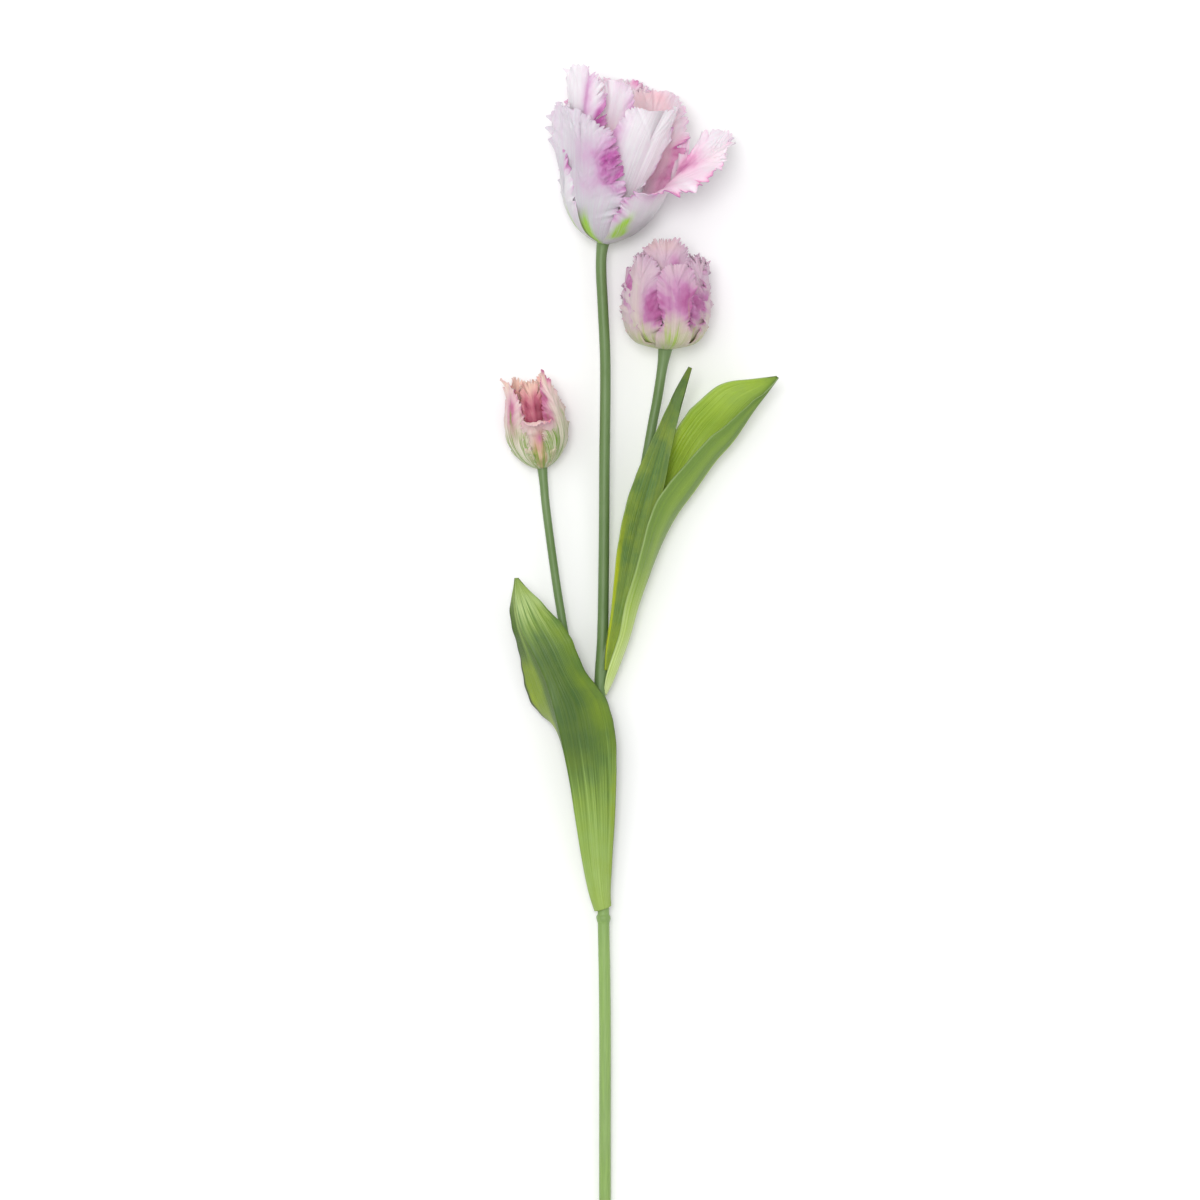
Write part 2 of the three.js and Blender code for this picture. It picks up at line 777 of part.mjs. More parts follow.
// A round solid on the z axis of a frame, from its outline.
function turnedSolid(outline, sides, frame) {
  const along = new THREE.Vector3(0, 0, 1).transformDirection(frame);
  const rings = outline.map(([radius, height]) => ({
    centre: new THREE.Vector3(0, 0, height).applyMatrix4(frame),
    along,
    radius,
  }));
  return ringsSolid(rings, sides);
}

function receptacleSolid(bloom) {
  return turnedSolid(bloom.receptacle, RECEPTACLE_SIDES, bloomFrame(bloom));
}

function collarSolid() {
  const foot = new THREE.Vector3(...COLLAR.foot);
  const top = new THREE.Vector3(...COLLAR.top);
  const along = top.clone().sub(foot).normalize();
  const rings = COLLAR.radii.map((radius, i) => ({
    centre: foot.clone().lerp(top, i / (COLLAR.radii.length - 1)),
    along,
    radius,
  }));
  return ringsSolid(rings, COLLAR.sides);
}

// The whole branching stem, grown as one piece with the three receptacles.
function stemNode() {
  const branches = [MAIN_STEM, HALF_STEM, BUD_STEM].map(stemSolid);
  const receptacles = [LARGE_BLOOM, HALF_BLOOM, BUD].map(receptacleSolid);
  const whole = [...branches, ...receptacles, collarSolid()].reduce((sum, part) => sum.add(part));
  return nodeFrom("stem", whole, "stem");
}

// The middle of the large bloom

// The bloom's frame, moved up to just above the receptacle's top.
function middleFrame() {
  const [, top] = LARGE_BLOOM.receptacle.at(-1);
  return bloomFrame(LARGE_BLOOM).multiply(new THREE.Matrix4().makeTranslation(0, 0, top + SEAT_GAP));
}

function pistilNode() {
  return nodeFrom("large_bloom_pistil", turnedSolid(PISTIL, PISTIL_SIDES, middleFrame()), "pistil");
}

function stamenNodes() {
  const { count, radius, lean } = STAMEN_RING;
  return Array.from({ length: count }, (_, i) => {
    const frame = middleFrame();
    frame.multiply(new THREE.Matrix4().makeRotationZ((i + 0.5) * ((2 * Math.PI) / count)));
    frame.multiply(new THREE.Matrix4().makeTranslation(radius, 0, 0));
    frame.multiply(new THREE.Matrix4().makeRotationY(rad(lean)));
    const solid = turnedSolid(STAMEN, PISTIL_SIDES, frame);
    return nodeFrom(`large_bloom_stamen_${i + 1}`, solid, "stamen");
  });
}

const largeBloom = ["large_bloom", LARGE_BLOOM, LARGE_PETALS, LARGE_LAYERS, LARGE_COMMON, "large_bloom"];
const halfBloom = ["half_bloom", HALF_BLOOM, HALF_PETALS, HALF_LAYERS, HALF_COMMON, "half_bloom"];
const bud = ["bud", BUD, BUD_PETALS, BUD_LAYERS, BUD_COMMON, "bud"];

const spray = new THREE.Group();
spray.add(stemNode());
spray.add(nodeFrom("lower_leaf", leafSolid(LOWER_LEAF), "lower_leaf"));
spray.add(nodeFrom("upper_outer_leaf", leafSolid(UPPER_OUTER_LEAF), "upper_outer_leaf"));
spray.add(nodeFrom("upper_inner_leaf", leafSolid(UPPER_INNER_LEAF), "upper_inner_leaf"));
spray.add(...bloomNodes(...largeBloom), pistilNode(), ...stamenNodes());
spray.add(...bloomNodes(...halfBloom), ...bloomNodes(...bud));
spray.position.set(-REST_CENTRE[0], -REST_CENTRE[1], 0);

export default spray;
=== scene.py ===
"""A cut spray of parrot tulip lying on a pale table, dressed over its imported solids."""
import math
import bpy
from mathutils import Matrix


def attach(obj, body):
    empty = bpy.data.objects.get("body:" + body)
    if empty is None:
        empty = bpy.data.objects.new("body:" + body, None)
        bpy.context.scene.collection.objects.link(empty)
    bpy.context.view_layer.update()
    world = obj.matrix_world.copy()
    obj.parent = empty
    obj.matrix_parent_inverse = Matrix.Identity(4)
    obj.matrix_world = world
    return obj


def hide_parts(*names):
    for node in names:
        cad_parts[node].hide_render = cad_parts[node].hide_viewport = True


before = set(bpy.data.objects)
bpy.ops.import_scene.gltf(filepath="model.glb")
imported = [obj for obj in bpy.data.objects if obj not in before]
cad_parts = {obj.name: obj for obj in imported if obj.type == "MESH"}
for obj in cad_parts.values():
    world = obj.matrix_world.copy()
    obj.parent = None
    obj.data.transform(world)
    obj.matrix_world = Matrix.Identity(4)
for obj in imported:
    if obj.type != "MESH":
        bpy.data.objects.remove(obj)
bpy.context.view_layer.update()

from types import SimpleNamespace

import bpy
import numpy as np
from mathutils import Vector

# Places are given in millimetres from the stem's cut end. MIDDLE becomes the origin.
MM = 0.001
MIDDLE = np.array([21.76, 359.4, 0.0])
PETAL_WALL = 0.5
LEAF_WALL = 0.8

# A bloom's base and lean in degrees, its receptacle's radii and heights, and its first petal's seed.
LARGE_BLOOM = {
    "base": (-0.8, 617.4, 20.1),
    "lean_right": 8.4,
    "rise": 14,
    "receptacle": [
        (3.9, -3.2), (6.2, -2), (7.3, -1.4), (7.3, 0.4), (6.5, 3), (5.6, 6.4), (5.5, 8.4), (5.2, 9),
    ],
    "first_seed": 11,
}
HALF_BLOOM = {
    "base": (36.4, 552.6, 24.2),
    "lean_right": 1,
    "rise": 4,
    "receptacle": [
        (3.9, -2.6), (6, -1.2), (6.85, -0.6), (6.85, 0.4), (6, 2.5), (5.8, 5.5), (5.8, 6.5), (3.5, 8.2),
    ],
    "first_seed": 21,
}
BUD = {
    "base": (-37.8, 480.6, 13.7),
    "lean_right": -9,
    "rise": 6,
    "receptacle": [(2.4, -1.4), (3.2, -0.6), (3.4, -0.2), (3.4, 0.5), (3.1, 1.8), (3.1, 2.6), (1.6, 4)],
    "first_seed": 41,
}

# A petal is drawn flat and then laid round the bloom's axis. It leans out from the axis as lean says
# at the places in LEAN_AT, which are shares of its reach, or of its length where reach is 0. The
# first group of values gives its shape, the second its torn margin, and the third where its colours
# lie on the flat petal. What runs along the margin is listed from the left of the base, over the tip,
# to the right of the base. node says whether the solids have the petal too.
LEAN_AT = (0, 0.1, 0.25, 0.45, 0.7, 1)
PETAL = dict(
    base_radius=7, base_height=0, heel=(0, 0), claw=4.2, width=30, spare=(0, 0), length=110,
    lean=(74, 50, 26, 12, 2, 3), hug=(1, 0.8), ruffle=2, waves=8, phase=0, curl=0, groove=1.2,
    blunt=(0.75, 0.75), swell=0.8, widest=0.6, skew=0, twist=0, open=(0, 0), reach=0, ridges=(),
    crumples=(), rows=300, columns=16,
    finger=2.6, notch=3.2, lobe=2, frill=1, smooth_to=0.22, rips=(), waists=(), tears=(1, 1),
    flush=(0.1, 0.5, 0.6, 0.5, 0.1), flush_width=5, blushes=(), flame=(4, 34, 1), greens=(), warm=(),
    node=True,
)

LARGE_LAYERS = {
    "outermost": dict(base_radius=8.4, base_height=-0.4, heel=(3.6, 2), lean=(74, 52, 29, 12, 7, 13)),
    "outer": dict(base_radius=7.8, heel=(3.6, 2.4), lean=(72, 50, 28, 12, 7, 8)),
    "inner": dict(base_radius=7, base_height=3, heel=(2.2, 3.6), lean=(66, 45, 23, 9, 5, 6)),
    "innermost": dict(base_radius=6.2, base_height=6.4, lean=(58, 36, 16, 4, 0, 4)),
}
LARGE_COMMON = dict(reach=92, flush_width=4)
LARGE_PETALS = {
    "front_left": dict(
        layer="outer", azimuth=-36, width=28, spare=(5, 2), length=89, ruffle=1.8, curl=0.8,
        blunt=(0.34, 0.6), widest=0.5, skew=-8,
        ridges=[(15, 55, 25, 41, 1.2, 2.6), (-2, 26, -3, 78, 1.6, 1.7), (-14, 30, -19, 78, 2, 1.5),
                (8, 44, 12, 66, 2, -1.6), (20, 50, 22, 72, 1.8, 2.4), (3, 54, 5, 84, 1.6, 1.3),
                (13, 60, 17, 74, 1.4, 1.4), (-22, 56, -27, 84, 1.8, 1.6), (14, 50, 24, 56, 1.2, 1.4)],
        crumples=[(19, 60, 8, 16, 1.2), (10, 46, 9, 9, 0.7), (-4, 78, 20, 8, 0.5)], columns=22, notch=4.4,
        lobe=2.8, frill=1.5,
        rips=[(0.44, 6, 1.2), (0.53, 7, 1.4), (0.6, 5, 1.2), (0.66, 8, 1.6), (0.71, 6, 1.2),
              (0.75, 7, 1.4)], tears=(0.5, 1), flush=(0, 0.05, 0.1, 0.1, 0.1, 0.3, 1, 0.25, 0),
        flush_width=5,
        blushes=[(22, 60, 6, 14, 0.85), (14, 64, 8, 10, 0.4), (15, 52, 6, 7, 0.35), (4, 44, 9, 7, 0.35),
                 (2, 64, 9, 12, 0.25), (24, 44, 4, 5, 0.4)], flame=(3.4, 31, 1.8),
    ),
    "right": dict(
        layer="outer", azimuth=57, claw=6, width=22, spare=(7, 7), length=97,
        lean=(72, 54, 34, 20, 48, 52), hug=(1, 0.2), ruffle=2.4, waves=9, blunt=(0.8, 0.7), swell=0.62,
        widest=0.5, skew=30, twist=-38, crumples=[(6, 84, 14, 12, 0.7)], finger=3, notch=4.4, frill=1.4,
        rips=[(0.73, 10, 2), (0.66, 15, 2.6), (0.58, 6, 1.4), (0.36, 6, 1.2), (0.47, 5, 1.4)],
        waists=[(-1, 0.42, 0.56, 2, 3, 0.2)], flush=(0, 0.5, 1, 1, 0.6, 0.2, 0.5, 1, 0.6, 0.2),
        blushes=[(-8, 50, 12, 10, 0.7), (8, 62, 9, 10, 0.9), (0, 72, 14, 7, 0.35)], flame=(3, 20, 0.2),
        greens=[(-11, 12, 3.4, 6, 1.6), (-15, 21, 2.6, 7, 1.3)],
        warm=[(4, 58, 9, 12, 0.8), (0, 84, 8, 8, 0.3)],
    ),
    "back": dict(
        layer="outer", azimuth=188, spare=(0, 10), length=101, phase=60, blunt=(0.55, 0.55), notch=4,
        frill=1.4, flush_width=5, blushes=[(0, 74, 22, 12, 0.5)], flame=(5, 38, 0.9),
        warm=[(6, 80, 18, 12, 1.6)],
    ),
    "left": dict(
        layer="outermost", azimuth=-74, claw=4.6, width=12.5, spare=(6, 4), length=66,
        lean=(74, 52, 29, 12, 9, 19), hug=(1.1, 1.05), ruffle=0.8, curl=-1, blunt=(1, 1), finger=3.2,
        notch=3, frill=0.7, smooth_to=0.34, rips=[(0.5, 7, 1.3)], flush=(0, 0.2, 0.8, 1, 0.9, 0.2, 0),
        flush_width=3, blushes=[(2, 58, 7, 9, 0.8)], flame=(3, 30, 1.2),
    ),
    "centre_right": dict(
        layer="inner", azimuth=20, width=27, length=91, ruffle=1.2, phase=90, blunt=(0.13, 0.44), skew=34,
        ridges=[(0, 24, -4, 84, 2.4, 0.9), (9, 40, 14, 82, 2.6, -0.7), (-14, 44, -18, 84, 2.2, 0.8)],
        waists=[(1, 0.14, 0.3, 0.5, 0.61, 0.74)], flush=(0, 0.3, 0.5, 0.12, 0.1, 0.2, 0.5, 0.6, 0.5, 0.2),
        flush_width=3.5, blushes=[(-18, 46, 5, 14, 0.9), (-24, 64, 5, 16, 0.7)], flame=(6, 28, 1.1),
    ),
    "back_right": dict(
        layer="inner", azimuth=146, spare=(3, 0), length=95, lean=(66, 45, 23, 9, 7, 10), ruffle=2.4,
        phase=30, blunt=(0.6, 0.6), swell=0.7, skew=-12, open=(0.6, 0),
        ridges=[(-24, 34, -27, 60, 2.2, 1.4), (-16, 34, -18, 64, 2.2, 1.2)], notch=4.6,
        rips=[(0.31, 9, 1.8), (0.26, 8, 1.5)], flush=(0.2, 0.9, 1, 0.5, 0.15, 0.2, 0.3, 0.2, 0),
        blushes=[(-28, 52, 9, 14, 0.9), (-18, 40, 9, 14, 0.6), (-30, 34, 8, 8, 0.9)],
        warm=[(8, 86, 14, 8, 1.5), (0, 78, 17, 8, 0.8), (-22, 54, 12, 14, 1)],
    ),
    "left_inner": dict(
        layer="inner", azimuth=-60, width=26, spare=(5, -6), length=112, lean=(66, 45, 23, 9, 6, 10),
        phase=120, blunt=(0.8, 0.8), swell=1.1, skew=18,
        ridges=[(3, 50, 6, 104, 2, 1.1), (-8, 60, -8, 100, 2.2, 0.7)], notch=3.8, lobe=2.8, frill=1.4,
        rips=[(0.66, 9, 1.6), (0.6, 7, 1.2)], flush=(0, 0.2, 0.3, 0.2, 0.1, 0.2, 0.8, 0.8, 0.2, 0),
        blushes=[(4, 92, 4, 16, 0.7), (17, 80, 5, 10, 1.2)],
    ),
    "middle": dict(
        layer="innermost", azimuth=-14, claw=3, width=14, length=99, hug=(1, 0.5), ruffle=1,
        blunt=(0.7, 0.6), ridges=[(-3, 50, -2, 92, 1.8, 1.2), (6, 46, 8, 86, 1.6, -0.9)], frill=0.8,
        flush=(0, 0.3, 0.3, 0.15, 0.3, 0.9, 0.8, 0), blushes=[(11, 70, 4, 18, 1)],
        warm=[(0, 60, 12, 12, 0.5)],
    ),
}

HALF_LAYERS = {
    "outer": dict(base_radius=7.2, heel=(3.2, 1.6), length=64, lean=(92, 78, 34, 4, -8, -12)),
    "between": dict(
        base_radius=7.1, base_height=1.1, heel=(2.4, 1.4), length=65, lean=(90, 76, 31.5, 3, -9, -14),
    ),
    "inner": dict(base_radius=6.2, base_height=6, length=64, lean=(82, 58, 21, 0, -10, -18)),
}
HALF_COMMON = dict(
    claw=7, width=18, hug=(1, 1), ruffle=0.7, groove=0.6, swell=0.45, reach=70, rows=200, columns=12,
    finger=1.9, notch=5.4, lobe=1.6, frill=1.3, flush=(0, 0.2, 0.1, 0.2, 0), flush_width=3,
    blushes=[(0, 40, 9, 8, 0.5)], flame=(16, 26, 1), warm=[(0, 60, 12, 6, 0.2)],
)
HALF_PETALS = {
    "front": dict(
        layer="outer", azimuth=12, base_radius=8.6, width=13, length=63, ruffle=0.5, curl=0.6, swell=0.6,
        widest=0.7,
        ridges=[(0, 14, 0, 56, 1.2, 1), (-5, 24, -6, 54, 1.1, 0.8), (5, 24, 6, 54, 1.1, 0.8),
                (-9, 34, -10, 48, 1, 0.7), (9, 34, 10, 48, 1, 0.7)], notch=2, frill=0.8,
        waists=[(-1, 0.2, 0.34, 0.4, 0.62, 0.26), (1, 0.2, 0.34, 0.4, 0.62, 0.26)],
        flush=(0, 0.1, 0.8, 0.4, 0, 0.4, 0.9, 0.2, 0), flush_width=3.5,
        blushes=[(-6, 41, 5, 12, 0.8), (6, 41, 5, 12, 0.8), (0, 42, 5, 12, 0.4)], flame=(6, 33, 1.5),
    ),
    "far_left": dict(
        layer="outer", azimuth=-82, length=60, hug=(1.25, 1.1), phase=80, curl=-1, notch=1.8, frill=0.7,
        flush=(0, 0.3, 0.5, 0.9, 1, 0.9, 0.4, 0), blushes=[(6, 46, 8, 10, 1)],
    ),
    "far_right": dict(
        layer="outer", azimuth=94, hug=(1.15, 1.05), phase=150, curl=-0.6, notch=4,
        flush=(0, 0.6, 1, 0.5, 0.1, 0.1, 0.6, 1, 0.4),
    ),
    "back": dict(layer="outer", azimuth=186, width=17, phase=10),
    "left": dict(
        layer="between", azimuth=-40, spare=(0, -2.5), length=66, phase=40, widest=0.45,
        ridges=[(-4, 20, -5, 60, 1.6, 1.3), (-11, 24, -12, 54, 1.3, 0.8), (3, 30, 4, 56, 1.2, -0.8)],
        crumples=[(9, 36, 8, 10, 0.9)], finger=1.6, notch=6, frill=1.5, rips=[(0.66, 4, 1.2)],
        tears=(1, 0.5), flush=(0, 0.3, 0.2, 0.1, 0.05, 0.3, 1, 1, 0.3), flush_width=5,
        blushes=[(9, 34, 7, 11, 1.1)], warm=[(-4, 56, 10, 8, 0.3)],
    ),
    "right": dict(
        layer="between", azimuth=60, width=19, spare=(-4, 0), ruffle=1.2, waves=12, widest=0.5,
        ridges=[(-12, 36, -6, 30, 0.9, 1.3), (-10, 42, -3, 37, 0.9, 1.3), (-6, 48, 0, 42, 0.9, 1.1),
                (-4, 28, 4, 34, 0.9, 1.2), (2, 38, 6, 46, 1, 1.1), (8, 40, 8, 58, 1.6, 0.9)],
        crumples=[(-6, 36, 12, 13, 1.2)], finger=1.6, notch=7, frill=1.8,
        rips=[(0.2, 6, 1.2), (0.27, 6, 1), (0.35, 6, 1.2), (0.7, 6, 1.3)], tears=(0.7, 1),
        flush=(0.2, 0.7, 0.8, 0.5, 0.1, 0.1, 0.5, 0.9, 0.4), flush_width=6,
        blushes=[(-8, 36, 9, 12, 0.8), (2, 36, 7, 9, 0.45)],
    ),
    "back_right": dict(layer="between", azimuth=143, width=17, length=60, phase=20),
    "back_left": dict(layer="between", azimuth=-137, width=17, length=60, phase=200),
    "inner_front": dict(
        layer="inner", azimuth=-4, width=20, length=68, phase=60,
        ridges=[(-2, 44, -4, 66, 1.6, 1.2), (6, 44, 8, 64, 1.4, 1)], finger=1.6,
        flush=(0, 0.5, 0.5, 0.25, 0.1, 0.25, 0.5, 0.5, 0),
        blushes=[(6, 52, 4, 5, 0.5), (9, 38, 7, 9, 1), (-7, 38, 5, 9, 1)],
        warm=[(-4, 64, 12, 7, 0.8)],
    ),
    "inner_right": dict(layer="inner", azimuth=112, length=58, phase=90),
    "inner_left": dict(layer="inner", azimuth=-124, length=58, phase=140),
}

BUD_LAYERS = {
    "outer": dict(base_radius=3.8, heel=(0.8, 0.8), length=64, lean=(75, 52, 27, 2, -13, 10)),
    "inner": dict(
        base_radius=3.6, base_height=2.2, width=13, length=58, lean=(66, 44, 20, -2, -14, 0),
        blunt=(0.9, 0.9), finger=1.6, notch=5, blushes=[(0, 32, 13, 13, 1)], flame=(20, 22, 0.5),
        warm=[(0, 54, 14, 9, 1.5)],
    ),
}
BUD_COMMON = dict(
    claw=2.6, hug=(1, 1), ruffle=0.6, groove=0.4, blunt=(1.4, 1.4), widest=0.42, rows=180, columns=10,
    finger=2.2, notch=2.2, lobe=1, frill=0.8, flush=(0, 0.2, 0.4, 0.2, 0.5, 0.3, 0), flush_width=2.2,
    blushes=[(0, 42, 9, 8, 0.6)], flame=(20, 42, 1.6), warm=[(0, 62, 9, 8, 1)],
)
BUD_PETALS = {
    "front": dict(
        layer="outer", azimuth=4, width=11, length=44, lean=(76, 60, 42, 8, 30, 130), hug=(1, 0.6),
        ruffle=0.5, blunt=(0.7, 0.9), widest=0.6,
        ridges=[(0, 8, 0, 25, 2.6, 1.3), (-4.4, 6, -3.4, 26, 1, -0.8), (4.4, 6, 3.4, 26, 1, -0.8),
                (-9, 27, 1, 31, 1.6, 1.2)], crumples=[(-5, 32, 7, 5, 0.6)], notch=1.6,
        flush=(0, 0, 0.1, 0.1, 0.1, 0),
        blushes=[(0, 25, 3, 3, 0.5), (5, 38, 5, 5, 0.4), (0, 20, 3, 5, 0.2)], flame=(11, 28, 1.2),
        warm=[(0, 14, 3.8, 11, 3)],
    ),
    "left": dict(
        layer="outer", azimuth=-60, width=15, lean=(75, 52, 27, 2, -13, 24), blunt=(1.3, 1.15), skew=-12,
        ridges=[(0, 16, 0, 54, 1.5, 0.9), (7, 12, 6, 40, 1.2, 0.5), (-6, 20, -4, 50, 1.2, 0.6)],
        blushes=[(4, 40, 3.4, 12, 0.8), (-6, 44, 4, 10, 0.4)],
    ),
    "right": dict(
        layer="outer", azimuth=60, width=15.5, length=66, blunt=(1.9, 1.7), skew=-26,
        ridges=[(0, 16, 0, 54, 1.5, 0.9), (-7, 12, -6, 40, 1.2, 0.5), (6, 14, 6, 44, 1.2, 0.6)],
        rips=[(0.72, 5, 1.2)], flush=(0, 0.3, 1, 0.8, 0.2, 0.2, 0), flush_width=3,
        blushes=[(-7, 46, 4, 12, 0.9)],
    ),
    "back": dict(
        layer="outer", azimuth=180, width=15, length=62, lean=(75, 52, 16, -16, -30, -14), hug=(1, 0.5),
        blunt=(0.9, 0.9), finger=1.6, notch=5, blushes=[(0, 32, 14, 13, 1)], flame=(20, 22, 0.5),
        warm=[(0, 57, 14, 9, 1.5)],
    ),
    "back_left": dict(layer="inner", azimuth=-118),
    "back_right": dict(layer="inner", azimuth=118),
    "inner_front": dict(
        layer="inner", azimuth=2, width=10, length=55, lean=(66, 44, 23, 6, -8, -14), blunt=(0.8, 0.8),
        ridges=[(0, 20, 0, 46, 1, 0.9), (-4, 22, -3, 44, 0.9, 0.8), (4, 22, 3, 44, 0.9, 0.8)],
        finger=1.8, notch=4, frill=0.6, rips=[(0.46, 7, 0.9), (0.56, 6, 0.9)],
        flush=(0, 0.2, 0.4, 0.2, 0.4, 0.2, 0),
        blushes=[(2, 34, 2, 13, 0.9), (-4, 36, 2, 12, 0.9), (6, 32, 2, 10, 0.6), (0, 30, 9, 11, 0.5)],
        flame=(1, 1, 0), warm=[(0, 54, 11, 7, 1.2)], node=False,
    ),
}

# A leaf is a midrib with a wing on each side: the wing's width, the angle at which it leaves the
# midrib, and how far it bends on, at even steps along the leaf.
LOWER_LEAF = {
    "midrib": [
        (-5.3, 213, 12.6), (-9.6, 226, 15), (-13.6, 245, 19), (-17.4, 268, 24), (-21.2, 292, 29),
        (-25.6, 315, 33), (-29.8, 334, 35), (-35, 352, 35), (-42.5, 368, 35.5), (-50.2, 384, 35),
        (-53.6, 400, 33.5), (-53.4, 413.4, 31),
    ],
    "right": {
        "width": (12, 15.5, 20, 25.5, 30.5, 34.5, 35, 25, 24.5, 22, 14, 1.2),
        "angle": (60, 35, 12, 0, -8, -12, -14, -12, -10, -6, 0, 0),
        "bend": (-137, -95, -55, -35, -25, -20, -20, -22, -20, -15, -10, 0),
    },
    "left": {
        "width": (9, 11, 15, 19, 23, 26, 27, 25, 18, 9, 3.5, 1.2),
        "angle": (-60, -75, -85, -90, -92, -82, -70, -62, -58, -60, -60, -60),
        "bend": (-103, -60, -35, -25, -18, -12, -5, 5, 8, 8, 0, 0),
    },
    "wave": 2.2,
    "waves": 3.2,
}
UPPER_OUTER_LEAF = {
    "midrib": [
        (0.4, 343, 13.6), (5.4, 354, 12), (13.8, 376, 11.6), (19.6, 396, 12.2), (26, 414, 12.8),
        (34, 434, 13.6), (43, 451, 15), (54, 466, 17), (66, 483, 19.5), (77.4, 496, 22),
        (88.8, 513, 26), (97, 524, 29), (103.8, 533.4, 32),
    ],
    "right": {
        "width": (2.5, 12, 20, 25, 28, 29, 28, 25, 20, 17, 9, 4, 1.2),
        "angle": (70, 74, 80, 84, 86, 90, 96, 102, 106, 108, 106, 100, 90),
        "bend": (117, 85, 56, 48, 44, 44, 48, 52, 52, 50, 30, 10, 0),
    },
    "left": {
        "width": (2.5, 8.5, 12, 16, 21, 25, 26, 27, 31, 33, 27, 14, 1.2),
        "angle": (-70, -50, -25, -18, -14, -12, -10, -8, -6, -4, -2, 0, 0),
        "bend": (104, 70, 40, 32, 28, 26, 26, 26, 26, 24, 20, 10, 0),
    },
    "wave": 1.4,
    "waves": 2.6,
}
UPPER_INNER_LEAF = {
    "midrib": [
        (0.6, 358, 19.6), (3.6, 372, 22), (8, 390, 25), (12, 410, 26.5), (16, 430, 27.6),
        (20.8, 450, 29), (26.4, 470, 31.5), (32.4, 490, 34), (38.4, 508, 35.5), (44.6, 524, 36),
        (51, 539.4, 36),
    ],
    "right": {
        "width": (0.8, 3.6, 6, 8, 10.5, 11, 10, 7.5, 5, 3, 0.8),
        "angle": (-5, -4, -4, -4, 0, 6, 10, 12, 12, 10, 0),
        "bend": (-10, 0, 0, 0, 6, 12, 14, 14, 12, 8, 0),
    },
    "left": {
        "width": (0.8, 3.2, 5.0, 7.5, 10, 11, 10, 7, 4.6, 3, 0.8),
        "angle": (40, 30, 26, 26, 26, 26, 26, 24, 20, 12, 0),
        "bend": (-60, -25, -6, 4, 8, 8, 8, 8, 6, 4, 0),
    },
    "wave": 0.7,
    "waves": 2.2,
}

# The stems: points along the middle, and the radius there.
MAIN_STEM = {
    "points": [
        (0, 0, 3.4), (0, 26, 3.4), (0, 80, 5.7), (0, 150, 8.3), (-0.9, 209, 10.2), (-1.8, 260, 11.9),
        (-2.8, 310, 13.3), (-3, 350, 14.5), (-1.4, 380, 15.5), (-0.6, 434, 16.6), (-0.3, 480, 17.6),
        (0.2, 540, 19), (-1.2, 575, 19.4), (-2.3, 597, 19.7), (-2.1, 608, 20), (-0.8, 617.4, 20.1),
    ],
    "radii": (3.6, 3.6, 3.6, 3.6, 3.6, 3.6, 3.5, 3.5, 3.4, 3.3, 3.3, 3.3, 3.3, 3.3, 3.4, 4.2),
}
HALF_STEM = {
    "points": [
        (-3, 332, 13.9), (-1.4, 352, 15.4), (6.5, 385, 18), (16.7, 440, 21.6), (27.6, 501, 23.8),
        (31.4, 521, 24), (34.4, 540, 24.2), (36.4, 552.6, 24.2),
    ],
    "radii": (2.4, 2.8, 2.9, 2.9, 2.9, 3, 3.2, 4.6),
}
BUD_STEM = {
    "points": [
        (-0.9, 218, 10.6), (-3, 238, 12), (-11, 300, 14), (-20, 355, 15), (-28.5, 405, 15.4),
        (-35, 452, 15.4), (-36.8, 470, 14.6), (-37.8, 480.6, 13.7),
    ],
    "radii": (2, 2.5, 2.6, 2.6, 2.6, 2.6, 2.7, 3.2),
}
COLLAR = {"foot": (-0.9, 205.5, 10.1), "top": (-0.9, 210, 10.3), "radii": (3.3, 4.1, 4.4, 4.4)}

PISTIL = {"heights": (0, 3, 14.4, 20.4, 22.3, 24), "radii": (2.1, 3, 3, 2.4, 4.8, 3.6)}
STAMEN = {"heights": (0, 11.7, 13, 14.6, 19.5, 24, 26), "radii": (1.1, 0.9, 0.7, 1.7, 1.9, 1.5, 0.6)}
STAMEN_RING = {"count": 6, "radius": 4.1, "lean": 17}
ANTHER_START = (13.5, 15.5)
PISTIL_LOBES = 3
SEAT_GAP = 0.3

# The receptacles are drawn at this share of their radii.
RECEPTACLE_SHARE = 0.8


# Curves and small sums

def ease(x, low, high):
    """0 below low, 1 above high, and a smooth step between them."""
    s = np.clip((np.asarray(x, float) - low) / (high - low), 0, 1)
    return s * s * (3 - 2 * s)


def hump(x, middle, half):
    """1 at the middle, falling away softly to nothing."""
    return np.exp(-(((x - middle) / half) ** 2))


def mix(a, b, t):
    return a + (b - a) * t


def through(values, t, knots=None):
    """A smooth value at t, from 0 to 1, through values at even or given knots."""
    values = np.asarray(values, float)
    last = len(values) - 1
    knots = np.linspace(0, 1, last + 1) if knots is None else np.asarray(knots, float)
    t = np.clip(np.asarray(t, float), 0, 1)
    start = np.clip(np.searchsorted(knots, t, side="left") - 1, 0, last - 1)
    before = np.maximum(np.arange(last + 1) - 1, 0)
    after = np.minimum(np.arange(last + 1) + 1, last)
    slopes = (values[after] - values[before]) / (knots[after] - knots[before])
    run = knots[start + 1] - knots[start]
    s = (t - knots[start]) / run
    near = s * s * (3 - 2 * s)
    leave = s * (1 - s) ** 2 * slopes[start] * run
    arrive = s * s * (s - 1) * slopes[start + 1] * run
    return mix(values[start], values[start + 1], near) + leave + arrive


def through_points(points, t):
    return np.stack([through([p[axis] for p in points], t) for axis in range(3)], axis=-1)


def unit(vectors):
    return vectors / np.maximum(np.linalg.norm(vectors, axis=-1, keepdims=True), 1e-9)


